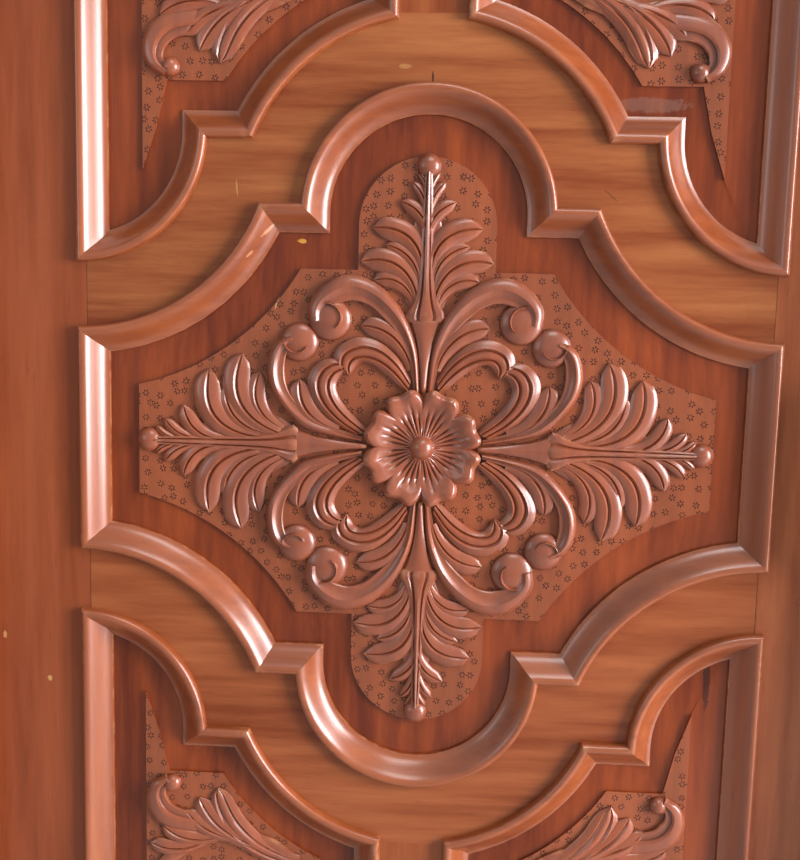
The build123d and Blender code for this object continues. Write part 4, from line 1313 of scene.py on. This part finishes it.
@dataclass
class Joinery:
    """The flat members of the leaf and of the door frame, in varnished boards of their own."""

    upright: tuple[str, ...] = ("lock_stile", "hinge_stile", "upper_muntin", "lower_muntin", "left_jamb",
                                "right_jamb")
    across: tuple[str, ...] = ("top_rail", "bottom_rail", "upper_curved_rail", "lower_curved_rail", "head",
                               "threshold")
    common: Colour = (0.400, 0.120, 0.036)
    frame_colour: Colour = (0.285, 0.082, 0.026)
    pale: Colour = (0.72, 0.45, 0.16)
    black: Colour = (0.022, 0.008, 0.005)
    stile_edge: float = 330.0
    board_shift: Point = (0.37, 0.21)

    def colours(self) -> dict[str, Colour]:
        """Colours of the members that differ from the common one.

        Returns:
            The colours by member.
        """
        colours = {"hinge_stile": (0.340, 0.088, 0.030), "upper_curved_rail": (0.455, 0.168, 0.055),
                   "lower_curved_rail": (0.430, 0.138, 0.046), "lock_stile": (0.43, 0.135, 0.050)}
        for name in ("left_jamb", "right_jamb", "head", "threshold"):
            colours[name] = self.frame_colour
        return colours

    def marks(self) -> dict[str, tuple[Mark, ...]]:
        """The drawn nail's slot, filled spots and scratches.

        Returns:
            The marks by member.
        """
        return {
            "upper_curved_rail": (Mark(1.0, 350.0, 1.1, 6.0, self.black, 0.9),
                                  Mark(-183.0, 246.0, 0.9, 8.0, self.pale, 0.34, 0.08),
                                  Mark(171.0, 244.6, 0.7, 9.0, self.black, 0.45, 0.86),
                                  Mark(-25.0, 360.0, 6.0, 2.6, self.pale, 0.25)),
            "hinge_stile": (Mark(-373.0, -249.0, 2.4, 3.2, self.pale, 0.6),
                            Mark(-419.0, -205.0, 2.0, 4.2, self.pale, 0.6)),
        }

    def dress_members(self, nodes: dict[str, bpy.types.Object]) -> None:
        """Gives each member its own board, with the grain along it.

        Args:
            nodes: the solids by node.
        """
        colours, marks = self.colours(), self.marks()
        for number, name in enumerate(self.upright + self.across):
            grain = Grain.UPRIGHT if name in self.upright else Grain.ACROSS
            joint = self.stile_edge if name.endswith("rail") else 0.0
            shift = (self.board_shift[0] * number, self.board_shift[1] * number)
            wood = VarnishedWood(f"{name}_wood", grain, light=colours.get(name, self.common),
                                 roughness=0.30, shift=shift, figure=1.25, marks=marks.get(name, ()),
                                 joint_x=joint)
            dress(nodes[name], wood.material())
            LOG.info("dressed %s", name)


# Screws, hinges and the pull


@dataclass
class Screws:
    """Slotted screw heads, made once and set on every place by Geometry Nodes."""

    head_radius: float = 3.6
    dome: float = 0.9
    slot_width: float = 0.9
    slot_depth: float = 0.6
    sides: int = 20
    seed: int = 7

    def head(self, name: str) -> bpy.types.Object:
        """One screw head facing up the z axis, in metres.

        Args:
            name: the object's name.

        Returns:
            The head, not yet in the scene.
        """
        work = bmesh.new()
        rings = []
        for reach, rise in ((1.0, -0.4), (1.0, 0.15), (0.9, 0.45), (0.62, 0.8), (0.3, 0.97)):
            ring = []
            for k in range(self.sides):
                angle = 2 * pi * k / self.sides
                x, y = self.head_radius * reach * cos(angle), self.head_radius * reach * sin(angle)
                sunk = self.slot_depth if abs(y) < self.slot_width / 2 and rise > 0.4 else 0.0
                ring.append(work.verts.new(Vector((x, y, self.dome * rise - sunk)) * MILLIMETRE))
            rings.append(ring)
        for low, high in zip(rings, rings[1:]):
            for k in range(self.sides):
                work.faces.new((low[k - 1], low[k], high[k], high[k - 1]))
        work.faces.new(rings[-1])
        work.faces.new(rings[0][::-1])
        bmesh.ops.recalc_face_normals(work, faces=work.faces)
        mesh = bpy.data.meshes.new(name)
        work.to_mesh(mesh)
        work.free()
        return bpy.data.objects.new(name, mesh)

    def carrier(self, name: str, places: list[tuple[Vector, Vector]]) -> bpy.types.Object:
        """Small triangle at each screw's place, facing as its head does.

        Args:
            name: the object's name.
            places: (place in metres, direction the head faces) of each screw.

        Returns:
            The triangles as one object, not yet in the scene.
        """
        small = 0.0001
        work = bmesh.new()
        for place, facing in places:
            first = facing.orthogonal().normalized() * small
            second = facing.cross(first)
            corners = (place + first, place + second, place - first - second)
            work.faces.new([work.verts.new(corner) for corner in corners])
        mesh = bpy.data.meshes.new(name)
        work.to_mesh(mesh)
        work.free()
        return bpy.data.objects.new(name, mesh)

    def tree(self, name: str, brass: bpy.types.Material) -> bpy.types.NodeTree:
        """Node tree that sets a head on every face, turned by its normal and spun by chance.

        Args:
            name: the tree's name.
            brass: material of the heads.

        Returns:
            The tree, with the inputs Geometry, Head, Size and Seed.
        """
        tree = bpy.data.node_groups.new(name, "GeometryNodeTree")
        inputs = (("Geometry", "Geometry"), ("Head", "Object"), ("Size", "Float"), ("Seed", "Int"))
        for title, kind in inputs:
            tree.interface.new_socket(title, in_out="INPUT", socket_type=f"NodeSocket{kind}")
        tree.interface.new_socket("Geometry", in_out="OUTPUT", socket_type="NodeSocketGeometry")
        kinds = {"given": "NodeGroupInput", "result": "NodeGroupOutput", "head": "GeometryNodeObjectInfo",
                 "normal": "GeometryNodeInputNormal", "kept": "GeometryNodeCaptureAttribute",
                 "points": "GeometryNodeMeshToPoints", "facing": "FunctionNodeAlignRotationToVector",
                 "chance": "FunctionNodeRandomValue", "angle": "ShaderNodeCombineXYZ",
                 "own": "FunctionNodeEulerToRotation", "spin": "FunctionNodeRotateRotation",
                 "set": "GeometryNodeInstanceOnPoints", "solid": "GeometryNodeRealizeInstances",
                 "paint": "GeometryNodeSetMaterial"}
        step = {key: tree.nodes.new(kind) for key, kind in kinds.items()}
        step["kept"].domain = "FACE"
        step["kept"].capture_items.new("VECTOR", "Facing")
        step["points"].mode = "FACES"
        step["chance"].data_type = "FLOAT"
        step["chance"].inputs["Min"].default_value = -pi
        step["chance"].inputs["Max"].default_value = pi
        step["spin"].rotation_space = "LOCAL"
        step["paint"].inputs["Material"].default_value = brass
        links = (
            ("given", "Geometry", "kept", "Geometry"), ("normal", "Normal", "kept", "Facing"),
            ("kept", "Geometry", "points", "Mesh"), ("points", "Points", "set", "Points"),
            ("given", "Head", "head", "Object"), ("head", "Geometry", "set", "Instance"),
            ("kept", "Facing", "facing", "Vector"), ("facing", "Rotation", "spin", "Rotation"),
            ("given", "Seed", "chance", "Seed"), ("chance", 1, "angle", "Z"),
            ("angle", "Vector", "own", "Euler"), ("own", "Rotation", "spin", "Rotate By"),
            ("spin", "Rotation", "set", "Rotation"), ("given", "Size", "set", "Scale"),
            ("set", "Instances", "solid", "Geometry"), ("solid", "Geometry", "paint", "Geometry"),
            ("paint", "Geometry", "result", "Geometry"),
        )
        for source, output, target, entry in links:
            tree.links.new(step[source].outputs[output], step[target].inputs[entry])
        return tree

    def set_on(self, name: str, places: list[tuple[Vector, Vector]], size: float, body: str,
               brass: bpy.types.Material) -> None:
        """Sets screws at given places and makes one plain mesh of them.

        Args:
            name: the piece's name.
            places: (place in metres, direction the head faces) of each screw.
            size: scale of the head.
            body: body that the screws ride on.
            brass: their material.
        """
        carrier, head = self.carrier(f"{name}_carrier", places), self.head(f"{name}_head")
        for obj in (carrier, head):
            bpy.context.scene.collection.objects.link(obj)
        tree = self.tree(f"{name}_setting", brass)
        modifier = carrier.modifiers.new("setting", "NODES")
        modifier.node_group = tree
        values = {"Head": head, "Size": size, "Seed": self.seed}
        for item in tree.interface.items_tree:
            if item.in_out == "INPUT" and item.name in values:
                modifier[item.identifier] = values[item.name]
        graph = bpy.context.evaluated_depsgraph_get()
        graph.update()
        mesh = bpy.data.meshes.new_from_object(carrier.evaluated_get(graph), depsgraph=graph)
        mesh.name = name
        carrier.modifiers.clear()
        for obj in (carrier, head):
            bpy.data.objects.remove(obj)
        made = bpy.data.objects.new(name, mesh)
        bpy.context.scene.collection.objects.link(made)
        dress(made, brass)
        mesh.shade_smooth()
        mesh.set_sharp_from_angle(angle=radians(30))
        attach(made, body)
        LOG.info("set %d screws as %s", len(places), name)


@dataclass
class Ironmongery:
    """Hinges, the pull and their screws."""

    hinge_heights: tuple[float, ...] = (219.0, 1059.0, 1899.0)
    jamb_face: float = -453.0
    stile_face: float = -450.0
    screw_rows: tuple[Point, ...] = ((-46.0, 26.0), (-18.0, 39.0), (18.0, 26.0), (46.0, 39.0))
    handle_x: float = 400.0
    handle_feet: tuple[float, float] = (1020.0, 1190.0)
    rose_face: float = 6.0
    rose_screw_reach: float = 11.5
    hinge_screw_size: float = 0.95
    pull_screw_size: float = 0.75

    def build(self, nodes: dict[str, bpy.types.Object]) -> None:
        """Dresses the solids and adds the screws.

        Args:
            nodes: the solids by node.
        """
        brass = AgedBrass("hinge_brass_finish").material()
        pull_brass = AgedBrass("pull_brass_finish", bright=(0.66, 0.44, 0.16)).material()
        for name, finish in (("hinge_frame_halves", brass), ("hinge_leaf_halves", brass),
                             ("pull_handle", pull_brass)):
            dress(nodes[name], finish)
            LOG.info("dressed %s", name)
        screws = Screws()
        for name, x, facing, body in (("hinge_leaf_screws", self.stile_face, -1, "door_leaf"),
                                      ("hinge_frame_screws", self.jamb_face, 1, "door_frame")):
            places = [(Vector((x, y, height + rise)) * MILLIMETRE, Vector((facing, 0, 0)))
                      for height in self.hinge_heights for rise, y in self.screw_rows]
            screws.set_on(name, places, self.hinge_screw_size, body, brass)
        feet = [(Vector((self.handle_x + aside, self.rose_face, z)) * MILLIMETRE, Vector((0, -1, 0)))
                for z in self.handle_feet for aside in (-self.rose_screw_reach, self.rose_screw_reach)]
        screws.set_on("pull_screws", feet, self.pull_screw_size, "door_leaf", pull_brass)


@dataclass
class JambScrews:
    """Screws deep in the fixing holes of both jambs."""

    heights: tuple[float, ...] = (250.0, 1100.0, 1950.0)
    depth: float = 6.0
    stop_x: float = 441.0
    hole_y: float = -22.0
    size: float = 1.22

    def build(self) -> None:
        """Sets a head inside each hole."""
        brass = AgedBrass("jamb_screw_finish").material()
        places = []
        for sign in (-1, 1):
            for height in self.heights:
                place = Vector((sign * (self.stop_x + self.depth), self.hole_y, height)) * MILLIMETRE
                places.append((place, Vector((-sign, 0, 0))))
        Screws().set_on("jamb_screws", places, self.size, "door_frame", brass)


# Camera, light and floor


@dataclass(frozen=True)
class Lamp:
    """A soft rectangular lamp that looks at the middle of the leaf."""

    name: str
    place: Spot
    size: Point
    power: float
    colour: Colour
    aim: Spot = (0.0, 0.0, 1.1)

    def build(self) -> None:
        """Puts the lamp into the scene."""
        data = bpy.data.lights.new(self.name, "AREA")
        data.shape = "RECTANGLE"
        data.size, data.size_y = self.size
        data.energy = self.power
        data.color = self.colour
        made = bpy.data.objects.new(self.name, data)
        made.location = self.place
        made.rotation_euler = (Vector(self.aim) - Vector(self.place)).to_track_quat("-Z", "Y").to_euler()
        bpy.context.scene.collection.objects.link(made)


@dataclass(frozen=True)
class Studio:
    """Camera at the photograph's place, soft light and a pale floor."""

    eye: Spot = (0.0166, -0.9649, 1.2749)
    turned_left: float = 2.919
    looking_up: float = -6.873
    tilted: float = 1.321
    focal_pixels: float = 1012.63
    centre_pixels: Point = (-11.26, -21.60)
    frame_pixels: tuple[int, int] = (800, 860)
    sensor: float = 36.0
    window: Lamp = Lamp("window_right", (3.2, -1.42, 1.5), (1.2, 2.2), 228.0, (1.0, 0.90, 0.92))
    weaker: tuple[Lamp, ...] = (
        Lamp("window_left", (-3.2, -2.8, 1.8), (1.0, 1.8), 14.0, (0.94, 0.94, 1.0)),
        Lamp("sky", (0.6, -2.0, 4.4), (1.8, 1.2), 42.0, (1.0, 0.96, 0.94)),
        Lamp("room_behind", (-1.6, 3.6, 2.4), (2.0, 1.8), 70.0, (1.0, 0.96, 0.93)),
    )

    def build(self) -> None:
        """Builds the camera, the lamps, the world and the floor."""
        self.camera()
        for lamp in (self.window, *self.weaker):
            lamp.build()
        self.room()
        self.floor()
        bpy.context.scene.view_settings.view_transform = "Standard"

    def camera(self) -> None:
        """Camera with the photograph's lens, place and shift."""
        long_side = max(self.frame_pixels)
        data = bpy.data.cameras.new("photo_camera")
        data.sensor_width = self.sensor
        data.lens = self.focal_pixels * self.sensor / long_side
        data.shift_x = -self.centre_pixels[0] / long_side
        data.shift_y = self.centre_pixels[1] / long_side
        data.clip_start = 0.05
        made = bpy.data.objects.new("photo_camera", data)
        turns = ((self.turned_left, "Z"), (self.looking_up + 90.0, "X"), (self.tilted, "Z"))
        made.matrix_world = Matrix.Translation(self.eye)
        for angle, axis in turns:
            made.matrix_world = made.matrix_world @ Matrix.Rotation(radians(angle), 4, axis)
        bpy.context.scene.collection.objects.link(made)
        bpy.context.scene.camera = made

    def room(self) -> None:
        """Dim room light, with a pale background for the camera, reflections and transmission."""
        world = bpy.data.worlds.new("room")
        bpy.context.scene.world = world
        world.use_nodes = True
        nodes, links = world.node_tree.nodes, world.node_tree.links
        dim = nodes["Background"]
        dim.inputs["Color"].default_value = (0.90, 0.90, 0.93, 1.0)
        dim.inputs["Strength"].default_value = 0.17
        pale = nodes.new("ShaderNodeBackground")
        pale.inputs["Color"].default_value = (0.70, 0.70, 0.71, 1.0)
        rays = nodes.new("ShaderNodeLightPath")
        seen = rays.outputs["Is Camera Ray"]
        for name in ("Is Glossy Ray", "Is Transmission Ray"):
            either = nodes.new("ShaderNodeMath")
            either.operation = "MAXIMUM"
            links.new(seen, either.inputs[0])
            links.new(rays.outputs[name], either.inputs[1])
            seen = either.outputs[0]
        mix = nodes.new("ShaderNodeMixShader")
        for place, source in enumerate((seen, dim.outputs[0], pale.outputs[0])):
            links.new(source, mix.inputs[place])
        links.new(mix.outputs[0], nodes["World Output"].inputs["Surface"])

    def floor(self) -> None:
        """Pale floor with a soft mottling, evened out where the window's light is strongest."""
        reach = 8.0
        mesh = bpy.data.meshes.new("floor")
        corners = [(-reach, -reach, 0), (reach, -reach, 0), (reach, reach, 0), (-reach, reach, 0)]
        mesh.from_pydata(corners, [], [(0, 1, 2, 3)])
        made = bpy.data.objects.new("floor", mesh)
        bpy.context.scene.collection.objects.link(made)
        tree = Shader("pale_floor")
        tone = tree.noise(tree.place, 2.0)
        colour = tree.blend(tone, (0.70, 0.70, 0.69), (0.74, 0.74, 0.73))
        material = tree.finish(colour, 0.6 + tone * 0.05, None)
        pale = tree.node("ShaderNodeEmission", {}, {"Color": (0.62, 0.62, 0.62, 1.0)})
        camera_ray = tree.node("ShaderNodeLightPath", {}, [], "Is Camera Ray")
        x, y, _ = tree.parts(tree.place)
        across, along = x - self.window.place[0], y - self.window.place[1]
        evened = tree.math("SQRT", across * across + along * along).smooth(0.8, 3.0, 0.94, 0.52)
        lit = Value(tree, tree.surface.outputs[0])
        mixed = tree.node("ShaderNodeMixShader", {}, [camera_ray * evened, lit, pale])
        tree.links.new(mixed.socket, tree.nodes["Material Output"].inputs["Surface"])
        dress(made, material)


# Marks of use on the mouldings and panels, and the whole picture


MOULDING_MARKS = (
    Mark(-153.0, 207.0, 1.3, 9.0, (0.72, 0.44, 0.26), 0.55, -0.75),
    Mark(-170.0, 184.0, 1.1, 5.0, (0.74, 0.40, 0.18), 0.50, -0.75),
    Mark(-250.0, 168.0, 1.6, 12.0, (0.72, 0.42, 0.20), 0.28, -1.1),
    Mark(-121.0, 268.0, 2.8, 14.0, (0.70, 0.46, 0.34), 0.25, -0.35),
)
PANEL_MARKS = (
    Mark(-121.4, 197.5, 4.2, 2.4, (0.70, 0.36, 0.06), 0.85),
    Mark(-74.5, 286.0, 0.6, 24.0, (0.05, 0.012, 0.005), 0.6),
    Mark(290.0, -226.0, 3.6, 34.0, (0.030, 0.010, 0.008), 0.75),
    Mark(284.0, -206.0, 7.0, 9.0, (0.035, 0.012, 0.009), 0.5),
    Mark(-144.5, 137.4, 0.9, 6.0, (0.75, 0.50, 0.24), 0.6, -0.3),
    Mark(206.0, 330.0, 36.0, 7.0, (0.34, 0.25, 0.20), 0.20),
)


def main() -> None:
    """Builds the whole picture in order."""
    logging.basicConfig(level=logging.INFO, format="%(message)s")
    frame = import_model()
    nodes = frame["nodes"]
    Studio().build()
    Joinery().dress_members(nodes)
    upright_wood = VarnishedWood("upright_moulding_wood", Grain.UPRIGHT, light=(0.40, 0.112, 0.034),
                                 wear=0.5, roughness=0.30, varnish=0.9, coat_index=1.68)
    shaped_wood = replace(upright_wood, name="shaped_moulding_wood", grain=Grain.ACROSS,
                          marks=MOULDING_MARKS)
    mouldings = Mouldings()
    mouldings.build(upright_wood, shaped_wood)
    panels = Panels()
    panels.build(VarnishedWood("panel_wood_finish", Grain.UPRIGHT, light=(0.300, 0.060, 0.012),
                               dark=(0.125, 0.019, 0.003), wear=0.45, figure=1.5, marks=PANEL_MARKS,
                               roughness=0.33, coat_index=1.62, punched=True))
    Ironmongery().build(nodes)
    JambScrews().build()


if __name__ == "__main__":
    main()
